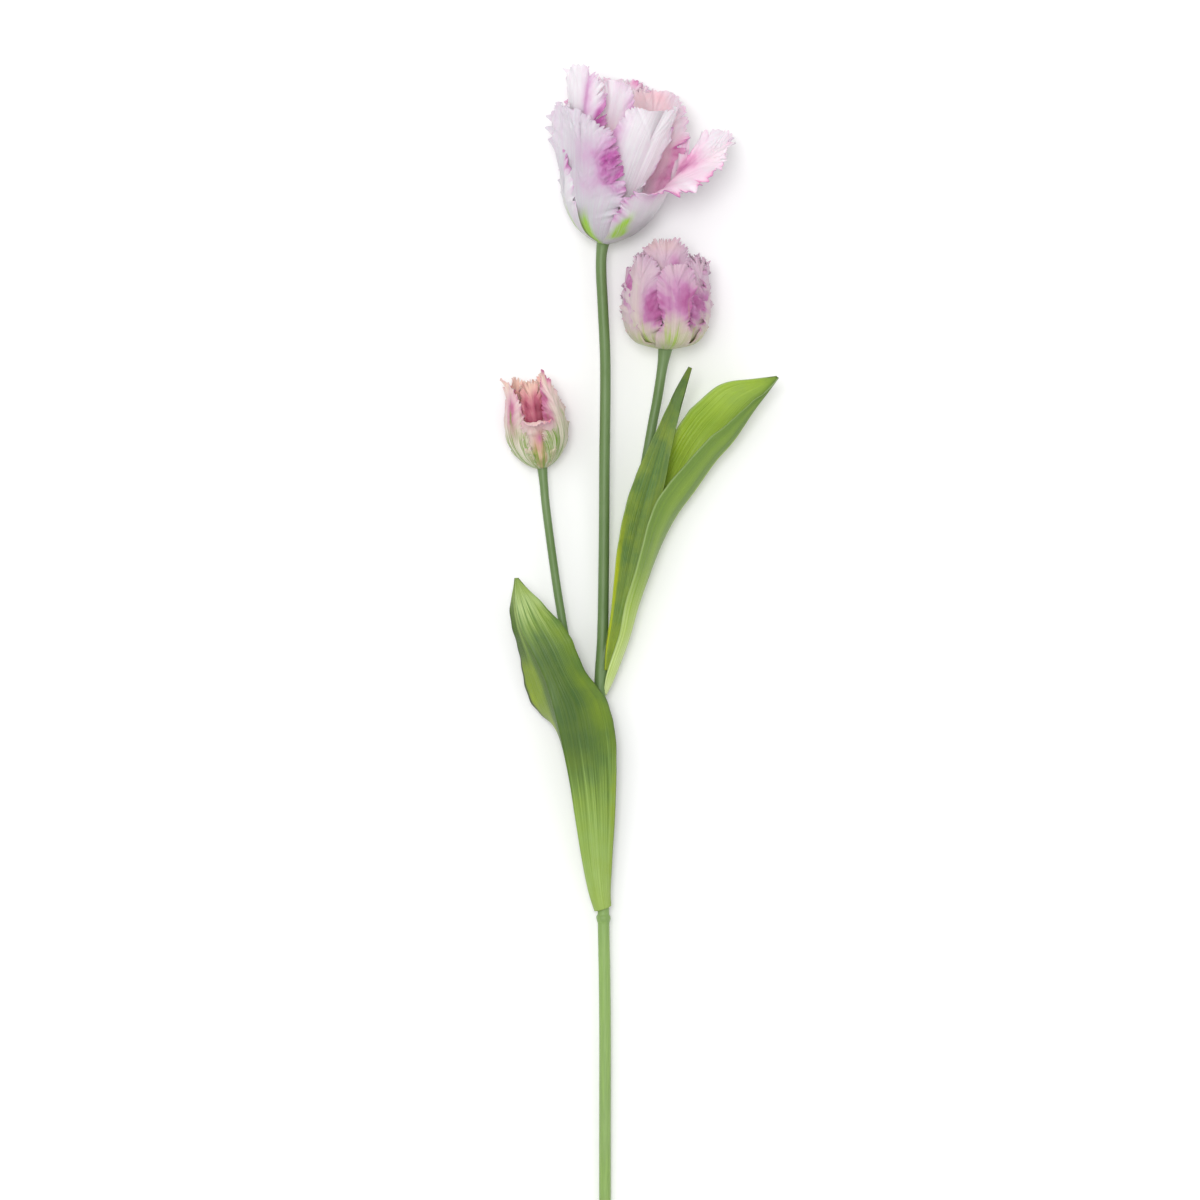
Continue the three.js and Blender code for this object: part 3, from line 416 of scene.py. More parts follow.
def ripple(rng, t, slowest, fastest):
    """A smooth random line over t, between about -1 and 1."""
    total = np.zeros_like(t)
    for turns in np.geomspace(slowest, fastest, 5):
        total += np.sin(2 * math.pi * (turns * t + rng.random())) * rng.uniform(0.5, 1)
    return total / 2


# Mesh work

DOUBLED = 1e-6  # metres: points nearer than this are one point


def deselect():
    for other in bpy.context.selected_objects:
        other.select_set(False)


def grid_sheet(name, columns, rows):
    """A flat grid from -1 to 1 each way, with its UV map, ready to be laid into shape."""
    deselect()
    bpy.ops.mesh.primitive_grid_add(x_subdivisions=columns, y_subdivisions=rows, size=2)
    sheet = bpy.context.object
    sheet.name = sheet.data.name = name
    return sheet


def grid_places(sheet):
    flat = np.empty(len(sheet.data.vertices) * 3)
    sheet.data.vertices.foreach_get("co", flat)
    return flat.reshape(-1, 3)


def lay(sheet, places):
    """Moves every point of a sheet to its place, given in millimetres from the cut end."""
    sheet.data.vertices.foreach_set("co", ((places - MIDDLE) * MM).ravel())
    sheet.data.update()


def mark(sheet, marks):
    """Keeps three numbers a point on the mesh, for the finish to read."""
    kept = sheet.data.attributes.new("colour_marks", "FLOAT_VECTOR", "POINT")
    kept.data.foreach_set("vector", np.clip(np.stack(marks, axis=-1), 0, 1).astype(np.float32).ravel())


def set_uv(sheet, across, along):
    """Lays the UV map: across and along are given for each point."""
    corners = np.empty(len(sheet.data.loops), dtype=np.int64)
    sheet.data.loops.foreach_get("vertex_index", corners)
    pairs = np.stack([across[corners], along[corners]], axis=-1)
    sheet.data.uv_layers[0].data.foreach_set("uv", pairs.astype(np.float32).ravel())


def apply_modifier(piece, kind, **settings):
    """Gives a piece a modifier and applies it."""
    modifier = piece.modifiers.new(kind, kind)
    for key, value in settings.items():
        setattr(modifier, key, value)
    bpy.ops.object.modifier_apply(modifier=modifier.name)


def dress(piece, finishes):
    piece.data.materials.clear()
    for finish in finishes:
        piece.data.materials.append(finish)


def thicken(sheet, wall, finishes):
    """Gives a sheet a wall, with the first finish outside and the second, if there is one, inside."""
    dress(sheet, finishes)
    bpy.ops.object.mode_set(mode="EDIT")
    bpy.ops.mesh.select_all(action="SELECT")
    bpy.ops.mesh.remove_doubles(threshold=DOUBLED)
    bpy.ops.object.mode_set(mode="OBJECT")
    apply_modifier(
        sheet, "SOLIDIFY", thickness=wall * MM, offset=0, material_offset=1, material_offset_rim=0)
    bpy.ops.object.shade_smooth()


def settle(piece, node):
    """Hangs a piece on the root body, and hides the imported part of the node it stands for, if any."""
    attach(piece, "root")
    if node:
        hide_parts(node)


# Petals

PROFILE_STEPS = 60
MARGIN_SAMPLES = 2001

# Shares of the way along a petal at which its shape changes.
MARGIN_TURN = 0.55
BARB_START = 0.78
FAN_START = 0.2
RISE = (0.25, 0.75)
HUG_TURN = (0.3, 0.8)
TWIST_TURN = (0.4, 0.75)
OPEN_TURN = (0.2, 0.45)
FADE_RUN = 0.16

# In millimetres.
KEEL_WIDTH = 5
HEEL_LENGTH = 9
VEIN_START = 9
TABLE_CLEAR = 0.02

# The deepest tear, as a share of the way from the margin to the middle.
DEEPEST_TEAR = 0.75


def petal_line(petal, t):
    """A petal's distance from the axis, its height and its lean, at t along it."""
    shared = petal.length / (petal.reach or petal.length)

    def lean_at(s):
        return np.radians(through(petal.lean, np.asarray(s) * shared, LEAN_AT))

    step = petal.length / PROFILE_STEPS
    halves = (np.arange(PROFILE_STEPS) + 0.5) / PROFILE_STEPS
    radii = petal.base_radius + np.concatenate([[0], np.cumsum(step * np.sin(lean_at(halves)))])
    heights = petal.base_height + np.concatenate([[0], np.cumsum(step * np.cos(lean_at(halves)))])
    knots = np.linspace(0, 1, PROFILE_STEPS + 1)
    heel = np.clip(1 - t * petal.length / HEEL_LENGTH, 0, 1) ** 2
    radius = np.interp(t, knots, radii) - heel * petal.heel[0]
    return radius, np.interp(t, knots, heights) - heel * petal.heel[1], lean_at(t)


def petal_margin(petal, v, hand):
    """How wide and how long the flat petal is where the barb at v ends."""
    low = np.clip(v / MARGIN_TURN, 0, 1)
    swell = np.sin(low * math.pi / 2) ** petal.swell
    turn = np.clip((v - MARGIN_TURN) / (1 - MARGIN_TURN), 0, 1) * math.pi / 2
    blunt = np.where(hand < 0, *petal.blunt)
    across = np.maximum(np.cos(turn), 0) ** blunt
    along = np.sin(turn) ** blunt
    below = v < MARGIN_TURN
    widest = petal.widest
    width = petal.width + np.where(hand < 0, *petal.spare)
    wide = np.where(below, mix(petal.claw, width, swell), width * across)
    tall = np.where(below, low * widest, widest + (1 - widest) * along) * petal.length
    return wide, tall


def margin_runs(petal):
    """How far along the margin each barb ends, in millimetres, up the left and down the right."""
    v = np.linspace(0, 1, MARGIN_SAMPLES)
    runs = []
    for hand in (-1, 1):
        wide, tall = petal_margin(petal, v, hand)
        runs.append(np.concatenate([[0], np.cumsum(np.hypot(np.diff(wide), np.diff(tall)))]))
    return v, runs[0], runs[0][-1] + runs[1][-1] - runs[1]


def spaced(rng, length, mean):
    """Places along a margin, unevenly spaced."""
    gaps = mean * rng.uniform(0.45, 1.7, int(length / mean * 1.3) + 4)
    return np.cumsum(gaps) - mean


def torn_margin(petal, rng, along, length):
    """How far the margin is torn in, in millimetres, and how its fingers bend."""
    notches = spaced(rng, length, petal.finger)
    tips = mix(notches[:-1], notches[1:], rng.uniform(0.35, 0.65, len(notches) - 1))
    depths = petal.notch * rng.uniform(0.15, 1, len(notches)) ** 1.6
    tip_depths = -0.25 * petal.notch * rng.uniform(0, 1, len(tips))
    at = np.concatenate([notches, tips])
    order = np.argsort(at)
    opened = np.concatenate([np.ones(len(notches)), np.zeros(len(tips))])
    openness = np.interp(along, at[order], opened[order])
    low = np.interp(along, notches, depths)
    high = np.interp(along, tips, tip_depths)
    cut = mix(high, low, openness ** 1.5)
    bend = np.interp(along, tips, rng.uniform(-1, 1, len(tips))) * (1 - openness)
    cut += petal.lobe * (0.5 + 0.5 * ripple(rng, along / length, 3, 11))
    for place, depth, half in petal.rips:
        cut = np.maximum(cut, depth * np.clip(1.3 - np.abs(along - place * length) / half, 0, 1))
    return cut, bend


def frilled(petal, rng, along, edge):
    """Small folds along the margin, finer and shallower towards the middle of the petal."""
    folds = np.zeros_like(along)
    for size, length, reach in ((1.0, 10.5, 7), (0.6, 6.1, 4.5), (0.35, 3.4, 2.5)):
        turns = 2 * math.pi * along / length + 1.5 * np.sin(along / 7 + 6 * rng.random()) + 6 * rng.random()
        folds += size * np.sin(turns) * np.exp(-edge / reach)
    return petal.frill * folds


def lifted(petal, x, y):
    """The crumples, ridges and channels drawn on the flat petal."""
    lift = np.zeros_like(x)
    for x0, y0, wide, tall, high in petal.crumples:
        folds = np.sin(0.9 * x + 1.8 * np.sin(0.31 * y + x0)) * np.sin(0.55 * y + 1.4 * np.sin(0.4 * x + y0))
        folds += 0.5 * np.sin(1.5 * x - 1.0 * y + 2 * np.sin(0.25 * y + x0))
        lift += high * folds * np.exp(-(((x - x0) / wide) ** 2) - ((y - y0) / tall) ** 2)
    for x0, y0, x1, y1, wide, high in petal.ridges:
        run = np.array([x1 - x0, y1 - y0])
        share = ((x - x0) * run[0] + (y - y0) * run[1]) / (run @ run)
        near = np.clip(share, 0, 1)
        away = np.hypot(x - x0 - near * run[0], y - y0 - near * run[1])
        ends = ease(share, -0.15, 0.3) * (1 - ease(share, 0.7, 1.15))
        lift += high * hump(away, 0, wide) * ends
    return lift


def petal_places(petal, x, y, fine):
    """Where points of the flat petal lie in the bloom's own frame."""
    t = y / petal.length
    r, h, lean = petal_line(petal, t)
    turn = np.radians(petal.azimuth + petal.skew * t * t)
    none = np.zeros_like(turn)
    out = np.stack([np.sin(turn), np.cos(turn), none], axis=-1)
    side = np.stack([np.cos(turn), -np.sin(turn), none], axis=-1)
    normal = out * np.cos(lean)[:, None]
    normal[:, 2] = -np.sin(lean)
    roll = np.radians(petal.twist * ease(t, *TWIST_TURN))[:, None]
    side, normal = side * np.cos(roll) + normal * np.sin(roll), normal * np.cos(roll) - side * np.sin(roll)
    hug = mix(*petal.hug, ease(t, *HUG_TURN))
    hug *= 1 - np.where(x < 0, *petal.open) * ease(t, *OPEN_TURN)
    curve = hug * np.maximum(np.cos(lean), 0.25) / np.maximum(r, 4)
    bend = x * curve
    flat = np.abs(bend) < 1e-4
    safe = np.where(flat, 1, curve)
    chord = np.where(flat, x, np.sin(bend) / safe)
    drop = np.where(flat, 0, (1 - np.cos(bend)) / safe)
    above = np.maximum(0, t - petal.widest) / (1 - petal.widest)
    reach = np.hypot(x / petal.width, above)
    spread = np.arctan2(x, y - FAN_START * petal.length)
    folds = petal.ruffle * np.sin(petal.waves * spread + math.radians(petal.phase)) + petal.curl
    keel = petal.groove * hump(x, 0, KEEL_WIDTH) * ease(t, 0, 0.3)
    lift = ease(t, *RISE) * reach * reach * folds - keel + lifted(petal, x, y) + fine
    places = out * r[:, None]
    places[:, 2] += h
    places += side * (chord + lift * np.sin(bend))[:, None]
    return places + normal * (lift * np.cos(bend) - drop)[:, None]


def spots(listed, x, y):
    """Soft oval spots of colour on the flat petal."""
    total = np.zeros_like(x)
    for x0, y0, wide, tall, strength in listed:
        total += strength * np.exp(-(((x - x0) / wide) ** 2) - ((y - y0) / tall) ** 2)
    return total


def petal_marks(petal, rng, share, edge, x, y):
    """How flushed, how green and how warm each point is, at a share of the margin's length."""
    strength = through(petal.flush, share)
    patchy = np.clip(0.8 + 0.5 * ripple(rng, share, 5, 30), 0.2, 1.4)
    flush = strength * patchy * np.exp(-edge / (petal.flush_width * patchy))
    flush += spots(petal.blushes, x, y)
    wide_flame, long_flame, strong = petal.flame
    ragged = 1 + 0.25 * ripple(rng, (x / petal.width + 1) / 2, 4, 15)
    flame = strong * hump(x, 0, wide_flame) * (1 - ease(y * ragged, 0.35 * long_flame, long_flame))
    flame += spots(petal.greens, x, y)
    return flush, flame, spots(petal.warm, x, y)


def bloom_frame(bloom):
    """A bloom's own right, up and axis, and its base, in millimetres from the cut end."""
    lean = math.radians(bloom["lean_right"])
    rise = math.radians(bloom["rise"])
    right = np.array([math.cos(lean), -math.sin(lean), 0])
    axis = np.array([math.sin(lean) * math.cos(rise), math.cos(lean) * math.cos(rise), math.sin(rise)])
    return np.array([right, np.cross(right, axis), axis]), np.array(bloom["base"], float)


def petal_piece(bloom_name, name, petal, bloom, finishes):
    """A petal of barbs: each row of the grid leaves the middle line low and rises to the margin."""
    sheet = grid_sheet(f"{name}_petal_of_{bloom_name}", 2 * petal.columns, petal.rows)
    flat = grid_places(sheet)
    hand = np.where(flat[:, 0] < 0, -1, 1)
    crowd = 1 - (1 - np.abs(flat[:, 0])) ** 1.5
    s = (flat[:, 1] + 1) / 2
    v = mix(s, 1 - (1 - s) ** 1.25, 0.5)
    rng = np.random.default_rng(petal.seed)
    knots, up_left, down_right = margin_runs(petal)
    length = down_right[0]
    along = np.where(hand < 0, np.interp(v, knots, up_left), np.interp(v, knots, down_right))
    wide, tall = petal_margin(petal, v, hand)
    barb = np.hypot(wide, (1 - BARB_START) * tall)
    cut, bend = torn_margin(petal, rng, along, length)
    fade = ease(v, petal.smooth_to, petal.smooth_to + FADE_RUN)
    torn = np.clip(cut * fade / np.maximum(barb, 1), 0, DEEPEST_TEAR)
    torn *= np.where(hand < 0, *petal.tears)
    for side, v0, v1, v2, v3, depth in petal.waists:
        torn += np.where(hand == side, depth * ease(v, v0, v1) * (1 - ease(v, v2, v3)), 0)
    share = crowd * (1 - torn * ease(crowd, 0.1, 1))
    x = hand * share * wide
    y = mix(tall * BARB_START, tall, share)
    edge = (1 - crowd) * barb
    fine = frilled(petal, rng, along, edge) * fade
    fine += petal.frill * 1.1 * bend * fade * np.exp(-edge / 1.6)
    axes, base = bloom_frame(bloom)
    laid = petal_places(petal, x, y, fine) @ axes + base
    laid[:, 2] = np.maximum(laid[:, 2], PETAL_WALL / 2 + TABLE_CLEAR)
    lay(sheet, laid)
    set_uv(sheet, 0.5 + np.arctan2(x, y + VEIN_START) * 0.5, np.hypot(x, y) / petal.length)
    mark(sheet, petal_marks(petal, rng, along / length, edge, x, y))
    thicken(sheet, PETAL_WALL, finishes)
    settle(sheet, f"{bloom_name}_petal_{name}" if petal.node else None)


def bloom_petals(bloom_name, bloom, petals, layers, common, finishes, own_finishes):
    for number, (name, own) in enumerate(petals.items()):
        values = {**PETAL, **common, **layers[own["layer"]], **own, "seed": bloom["first_seed"] + number}
        petal_piece(bloom_name, name, SimpleNamespace(**values), bloom, own_finishes.get(name, finishes))


# Leaves

WING_STEPS = 12
LEAF_COLUMNS = 44
LEAF_ROWS = 190
WAVE_RISE = (0.25, 0.55)
WAVE_FALL = (0.85, 1)
LEFT_WAVE_SHIFT = 0.4
CRIMP_HEIGHT = 0.25
VEIN_HEIGHT = 0.06
VEINS = 11


def leaf_places(leaf, s, q):
    """Points of a leaf, s along it from 0 to 1 and q across it from -1 to 1."""
    middle = through_points(leaf["midrib"], s)
    ahead = through_points(leaf["midrib"], np.minimum(1, s + 0.01))
    along = unit(ahead - through_points(leaf["midrib"], np.maximum(0, s - 0.01)))
    none = np.zeros_like(s)
    across = unit(np.stack([along[:, 1], -along[:, 0], none], axis=-1))
    up = unit(np.cross(across, along))
    hand = np.where(q < 0, -1, 1)
    out = np.abs(q)
    width, angle, bend = (
        np.where(q < 0, through(leaf["left"][key], s), through(leaf["right"][key], s))
        for key in ("width", "angle", "bend")
    )
    step = width * out / WING_STEPS
    for i in range(WING_STEPS):
        here = np.radians(angle + bend * out * (i + 0.5) / WING_STEPS)
        middle = middle + across * (hand * step * np.cos(here))[:, None]
        middle = middle + up * (step * np.sin(here))[:, None]
    turns = leaf["waves"] * s + np.where(hand > 0, 0, LEFT_WAVE_SHIFT)
    fade = ease(s, *WAVE_RISE) * (1 - ease(s, *WAVE_FALL))
    wave = leaf["wave"] * out * out * fade * np.sin(2 * math.pi * turns)
    crimp = CRIMP_HEIGHT * out ** 4 * fade * np.sin(2 * math.pi * (turns * 5.3 + 0.2))
    vein = VEIN_HEIGHT * np.cos(2 * math.pi * VEINS * out) * ease(out, 0, 0.1)
    lift = wave + crimp + vein
    end = np.radians(angle + bend * out)
    middle = middle + up * (lift * np.cos(end))[:, None]
    return middle - across * (hand * lift * np.sin(end))[:, None]


def leaf_piece(name, leaf, finish, marks):
    sheet = grid_sheet(f"{name}_blade", LEAF_COLUMNS, LEAF_ROWS)
    places = grid_places(sheet)
    q = places[:, 0]
    s = (places[:, 1] + 1) / 2
    lay(sheet, leaf_places(leaf, s, q))
    mark(sheet, marks(s, q))
    thicken(sheet, LEAF_WALL, [finish])
    settle(sheet, name)


# Stem, pistil and stamens

STEM_VOXEL = 0.6
SOFTENING_ROUNDS = 6
STEM_SIDES = 24


def tube(name, points, radii, sides):
    """A round piece with closed ends along points, in millimetres from the cut end."""
    line = bpy.data.curves.new(name, "CURVE")
    line.dimensions = "3D"
    line.bevel_depth = MM
    line.bevel_resolution = sides // 4
    line.use_fill_caps = True
    spline = line.splines.new("POLY")
    spline.points.add(len(points) - 1)
    for knot, place, radius in zip(spline.points, points, radii):
        knot.co = (*((np.asarray(place) - MIDDLE) * MM), 1)
        knot.radius = radius
    piece = bpy.data.objects.new(name, line)
    bpy.context.scene.collection.objects.link(piece)
    deselect()
    piece.select_set(True)
    bpy.context.view_layer.objects.active = piece
    bpy.ops.object.convert(target="MESH")
    return bpy.context.object


def stem_tube(name, stem, steps):
    s = np.linspace(0, 1, steps)
    return tube(name, through_points(stem["points"], s), through(stem["radii"], s), STEM_SIDES)


def receptacle(name, bloom):
    axes, base = bloom_frame(bloom)
    heights = [height for _, height in bloom["receptacle"]]
    radii = [RECEPTACLE_SHARE * radius for radius, _ in bloom["receptacle"]]
    return tube(name, [base + axes[2] * height for height in heights], radii, 32)


def collar():
    steps = len(COLLAR["radii"])
    foot, top = np.array(COLLAR["foot"]), np.array(COLLAR["top"])
    points = [mix(foot, top, i / (steps - 1)) for i in range(steps)]
    return tube("collar", points, COLLAR["radii"], STEM_SIDES)


def stem_piece(finish):
    """The branching stem, grown together from its three stems and the three receptacles."""
    parts = [
        stem_tube("branched_stem", MAIN_STEM, 160),
        stem_tube("half_bloom_stem", HALF_STEM, 90),
        stem_tube("bud_stem", BUD_STEM, 90),
        collar(),
    ] + [receptacle("receptacle", bloom) for bloom in (LARGE_BLOOM, HALF_BLOOM, BUD)]
    deselect()
    for part in parts:
        part.select_set(True)
    bpy.context.view_layer.objects.active = parts[0]
    bpy.ops.object.join()
    stem = bpy.context.object
    apply_modifier(stem, "REMESH", mode="VOXEL", voxel_size=STEM_VOXEL * MM)
    apply_modifier(stem, "SMOOTH", factor=0.5, iterations=SOFTENING_ROUNDS)
    bpy.ops.object.shade_smooth()
    places = grid_places(stem)
    places[:, 2] = np.maximum(places[:, 2], TABLE_CLEAR * MM)
    stem.data.vertices.foreach_set("co", places.ravel())
    dress(stem, [finish])
    settle(stem, "stem")


def middle_of_bloom():
    """The large bloom's axes, and the place just above its receptacle's top."""
    axes, base = bloom_frame(LARGE_BLOOM)
    top = LARGE_BLOOM["receptacle"][-1][1] + SEAT_GAP
    return axes, base + axes[2] * top


def pistil_piece(finish):
    axes, foot = middle_of_bloom()
    s = np.linspace(0, 1, 40)
    points = foot + axes[2] * through(PISTIL["heights"], s)[:, None]
    pistil = tube("pistil_of_large_bloom", points, through(PISTIL["radii"], s), 48)
    places = grid_places(pistil) / MM + MIDDLE - foot
    own = places @ axes.T
    turn = np.arctan2(own[:, 1], own[:, 0])
    lobed = np.cos(PISTIL_LOBES * turn)
    lobes = 1 + 0.16 * lobed * ease(own[:, 2], 2, 12) + 0.12 * lobed * ease(own[:, 2], 19, 22)
    own[:, :2] *= lobes[:, None] * 0.88
    lay(pistil, own @ axes + foot)
    bpy.ops.object.shade_smooth()
    dress(pistil, [finish])
    settle(pistil, "large_bloom_pistil")


def stamen_pieces(finish):
    axes, foot = middle_of_bloom()
    lean = math.radians(STAMEN_RING["lean"])
    s = np.linspace(0, 1, 36)
    heights, radii = through(STAMEN["heights"], s), through(STAMEN["radii"], s)
    for i in range(STAMEN_RING["count"]):
        turn = (i + 0.5) * 2 * math.pi / STAMEN_RING["count"]
        out = math.cos(turn) * axes[0] + math.sin(turn) * axes[1]
        way = math.cos(lean) * axes[2] + math.sin(lean) * out
        start = foot + out * STAMEN_RING["radius"]
        stamen = tube(f"stamen_{i + 1}_of_large_bloom", start + way * heights[:, None], radii, 20)
        across = unit(np.cross(way, out))
        face = unit(np.cross(across, way))
        places = grid_places(stamen) / MM + MIDDLE - start
        aside = places @ across
        anther = ease(places @ way, *ANTHER_START)
        places -= np.outer(0.3 * aside * anther, across)
        groove = 0.22 * hump(aside, 0, 0.5) * anther
        places -= np.outer((places @ face) * groove, face)
        lay(stamen, places + start)
        bpy.ops.object.shade_smooth()
        dress(stamen, [finish])
        settle(stamen, f"large_bloom_stamen_{i + 1}")


# Finishes

# Where colours change along the spray, in metres from the origin.
STEM_RUN = (-0.36, 0.27)
CUT_FACE = (-0.3591, -0.3589)
ANTHER_FOOT = (0.2795, 0.2815)


def tone(red, green, blue):
    """A colour as seen on a screen, from 0 to 255, as light."""
    light = [((c / 255 + 0.055) / 1.055) ** 2.4 for c in (red, green, blue)]
    return (*light, 1.0)


def new_finish(name, roughness, specular=0.35, sheen=0.0, glow=0.0):
    finish = bpy.data.materials.new(name)
    finish.use_nodes = True
    tree = finish.node_tree
    shader = tree.nodes["Principled BSDF"]
    shader.inputs["Roughness"].default_value = roughness
    shader.inputs["Specular IOR Level"].default_value = specular
    shader.inputs["Sheen Weight"].default_value = sheen
    shader.inputs["Sheen Roughness"].default_value = 0.4
    shader.inputs["Subsurface Weight"].default_value = glow
    shader.inputs["Subsurface Radius"].default_value = (1.0, 0.7, 0.8)
    shader.inputs["Subsurface Scale"].default_value = 1.5 * MM
    return finish, tree, shader


def node(tree, kind, values=(), **settings):
    """A node with its settings, and its inputs given by name or wired from a socket."""
    made = tree.nodes.new(kind)
    for key, value in settings.items():
        setattr(made, key, value)
    for key, value in dict(values).items():
        if isinstance(value, bpy.types.NodeSocket):
            tree.links.new(value, made.inputs[key])
        else:
            made.inputs[key].default_value = value
    return made


def math_node(tree, operation, a, b, clamp=False):
    return node(tree, "ShaderNodeMath", {0: a, 1: b}, operation=operation, use_clamp=clamp).outputs[0]


def product(tree, a, b, clamp=False):
    return math_node(tree, "MULTIPLY", a, b, clamp)


def sum_of(tree, *shares, base=0.0):
    """A base value and each given value times its share."""
    total = base
    for value, share in shares:
        total = math_node(tree, "ADD", product(tree, value, share), total)
    return total


def blend(tree, share, a, b):
    """Colour a where the share is 0, and colour b where it is 1."""
    return node(tree, "ShaderNodeMix", {"Factor": share, 6: a, 7: b}, data_type="RGBA").outputs[2]


def ranged(tree, value, low, high):
    """A value spread from low and high to 0 and 1."""
    spread = {"Value": value, "From Min": low, "From Max": high}
    return node(tree, "ShaderNodeMapRange", spread).outputs["Result"]


def place_on(tree, kind):
    """Places on the UV map, or places in space."""
    return node(tree, "ShaderNodeTexCoord").outputs[kind]


def along_of(tree, kind):
    """The second number of a place, which runs along the piece."""
    return node(tree, "ShaderNodeSeparateXYZ", {"Vector": place_on(tree, kind)}).outputs[1]


def noise(tree, place, scale, detail, low, high):
    grain = node(tree, "ShaderNodeTexNoise", {"Vector": place, "Scale": scale, "Detail": detail})
    return ranged(tree, grain.outputs["Fac"], low, high)


def streaks(tree, stretch, kind="UV", detail=3.0, low=0.35, high=0.65):
    """Noise drawn out into streaks, from 0 to 1."""
    drawn = node(tree, "ShaderNodeMapping", {"Vector": place_on(tree, kind), "Scale": stretch})
    return noise(tree, drawn.outputs[0], 1.0, detail, low, high)


def patches(tree, scale, detail=2.0, low=0.35, high=0.65):
    """Soft patches in space, from 0 to 1."""
    return noise(tree, place_on(tree, "Object"), scale, detail, low, high)


def colour_ramp(tree, place, stops):
    """A colour that changes along stops as place goes from 0 to 1."""
    ramp = node(tree, "ShaderNodeValToRGB", {"Fac": place})
    while len(ramp.color_ramp.elements) < len(stops):
        ramp.color_ramp.elements.new(0.5)
    for element, (at, *colour) in zip(ramp.color_ramp.elements, stops):
        element.position = at
        element.color = tone(*colour)
    return ramp.outputs["Color"]


def colour_marks(tree):
    kept = node(tree, "ShaderNodeAttribute", attribute_name="colour_marks").outputs["Vector"]
    return node(tree, "ShaderNodeSeparateXYZ", {"Vector": kept}).outputs


def wire(tree, shader, body, height, strength, distance):
    """Gives the shader its colour and its bumps."""
    tree.links.new(body, shader.inputs["Base Color"])
    raised = {"Height": height, "Strength": strength, "Distance": distance * MM}
    tree.links.new(node(tree, "ShaderNodeBump", raised).outputs[0], shader.inputs["Normal"])


def petal_finish(name, *colours, striped=0.8, lined=0.16):
    """Silky petal: shaded from its base, blushed to the margins, green flamed and finely veined."""
    finish, tree, shader = new_finish(name, 0.5, specular=0.3, sheen=0.1, glow=0.45)
    pale, shaded, blushed, deep, flame, warm = (tone(*colour) for colour in colours)
    flushed, flamed, warmed = colour_marks(tree)
    lines = streaks(tree, (90, 2.0, 1))
    bands = streaks(tree, (16, 2.2, 1), detail=2.0)
    blotches = patches(tree, 120, detail=3.0)
    along = along_of(tree, "UV")
    # The shaded colour near the base is painted shade on the large and front petals' outside, and the
    # petal's own tint on the other finishes.
    lit = sum_of(tree, (along, 1.0), (patches(tree, 45), 0.3), (bands, 0.15))
    body = blend(tree, ranged(tree, lit, 0.35, 1.1), shaded, pale)
    body = blend(tree, product(tree, lines, lined), body, blushed)
    warmth = product(tree, warmed, sum_of(tree, (bands, 0.3), (blotches, 0.3), base=0.5))
    body = blend(tree, warmth, body, warm)
    flush = product(tree, flushed, sum_of(tree, (bands, 0.45), (blotches, 0.45), base=0.45))
    body = blend(tree, ranged(tree, flush, 0.02, 0.6), body, blushed)
    body = blend(tree, ranged(tree, flush, 0.5, 1.15), body, deep)
    stripes = sum_of(tree, (lines, 0.5 * striped), (bands, 0.5 * striped), base=1.3 - striped)
    body = blend(tree, product(tree, flamed, stripes, clamp=True), body, flame)
    wire(tree, shader, body, sum_of(tree, (lines, 0.6), (bands, 1.0)), 0.5, 0.5)
    return finish


def leaf_finish(name, stops, *colours):
    """Leaf: colours from base to tip that run into each other in streaks, parallel veins, thin rim."""
    finish, tree, shader = new_finish(name, 0.4, specular=0.45, glow=0.08)
    sunlit, shaded, rim = (tone(*colour) for colour in colours)
    sunned, darkened, rimmed = colour_marks(tree)
    along = along_of(tree, "UV")
    fine = streaks(tree, (130, 4, 1), detail=4.0, low=0.3, high=0.7)
    coarse = streaks(tree, (30, 2.2, 1))
    clouds = patches(tree, 60, detail=4.0, low=0.38, high=0.62)
    place = sum_of(tree, (along, 1.0), (fine, 0.1), (coarse, 0.16), base=-0.13)
    body = blend(tree, product(tree, clouds, 0.3), colour_ramp(tree, place, stops), sunlit)
    # The marks lay painted sunlight and painted shade over the leaf's own colours.
    sun = product(tree, sunned, sum_of(tree, (clouds, 0.4), base=0.7), clamp=True)
    body = blend(tree, sun, body, sunlit)
    shade = product(tree, darkened, sum_of(tree, (coarse, 0.4), base=0.7), clamp=True)
    body = blend(tree, shade, body, shaded)
    body = blend(tree, product(tree, fine, 0.28), body, shaded)
    body = blend(tree, product(tree, coarse, 0.14), body, sunlit)
    body = blend(tree, rimmed, body, rim)
    wire(tree, shader, body, sum_of(tree, (fine, 1.0), (coarse, 1.5)), 0.45, 0.3)
    return finish


def stem_finish():
    """Stem: smooth and slightly waxy, paler towards its foot, with faint streaks along it."""
    finish, tree, shader = new_finish("stem_green", 0.42, specular=0.4, glow=0.1)
    along = along_of(tree, "Object")
    stops = [(0.0, 140, 172, 92), (0.3, 142, 176, 92), (0.42, 96, 126, 68), (1.0, 98, 124, 70)]
    body = colour_ramp(tree, ranged(tree, along, *STEM_RUN), stops)
    lines = streaks(tree, (1400, 22, 1400), "Object")
    body = blend(tree, product(tree, lines, 0.25), body, tone(70, 98, 50))
    body = blend(tree, product(tree, patches(tree, 25), 0.2), body, tone(140, 160, 118))
    body = blend(tree, ranged(tree, along, *CUT_FACE), tone(206, 218, 172), body)
    wire(tree, shader, body, lines, 0.2, 0.15)
    return finish


def grainy_finish(name, low, high, scale, roughness):
    finish, tree, shader = new_finish(name, roughness, specular=0.2)
    grain = patches(tree, scale, detail=4.0)
    wire(tree, shader, blend(tree, grain, low, high), grain, 0.4, 0.2)
    return finish


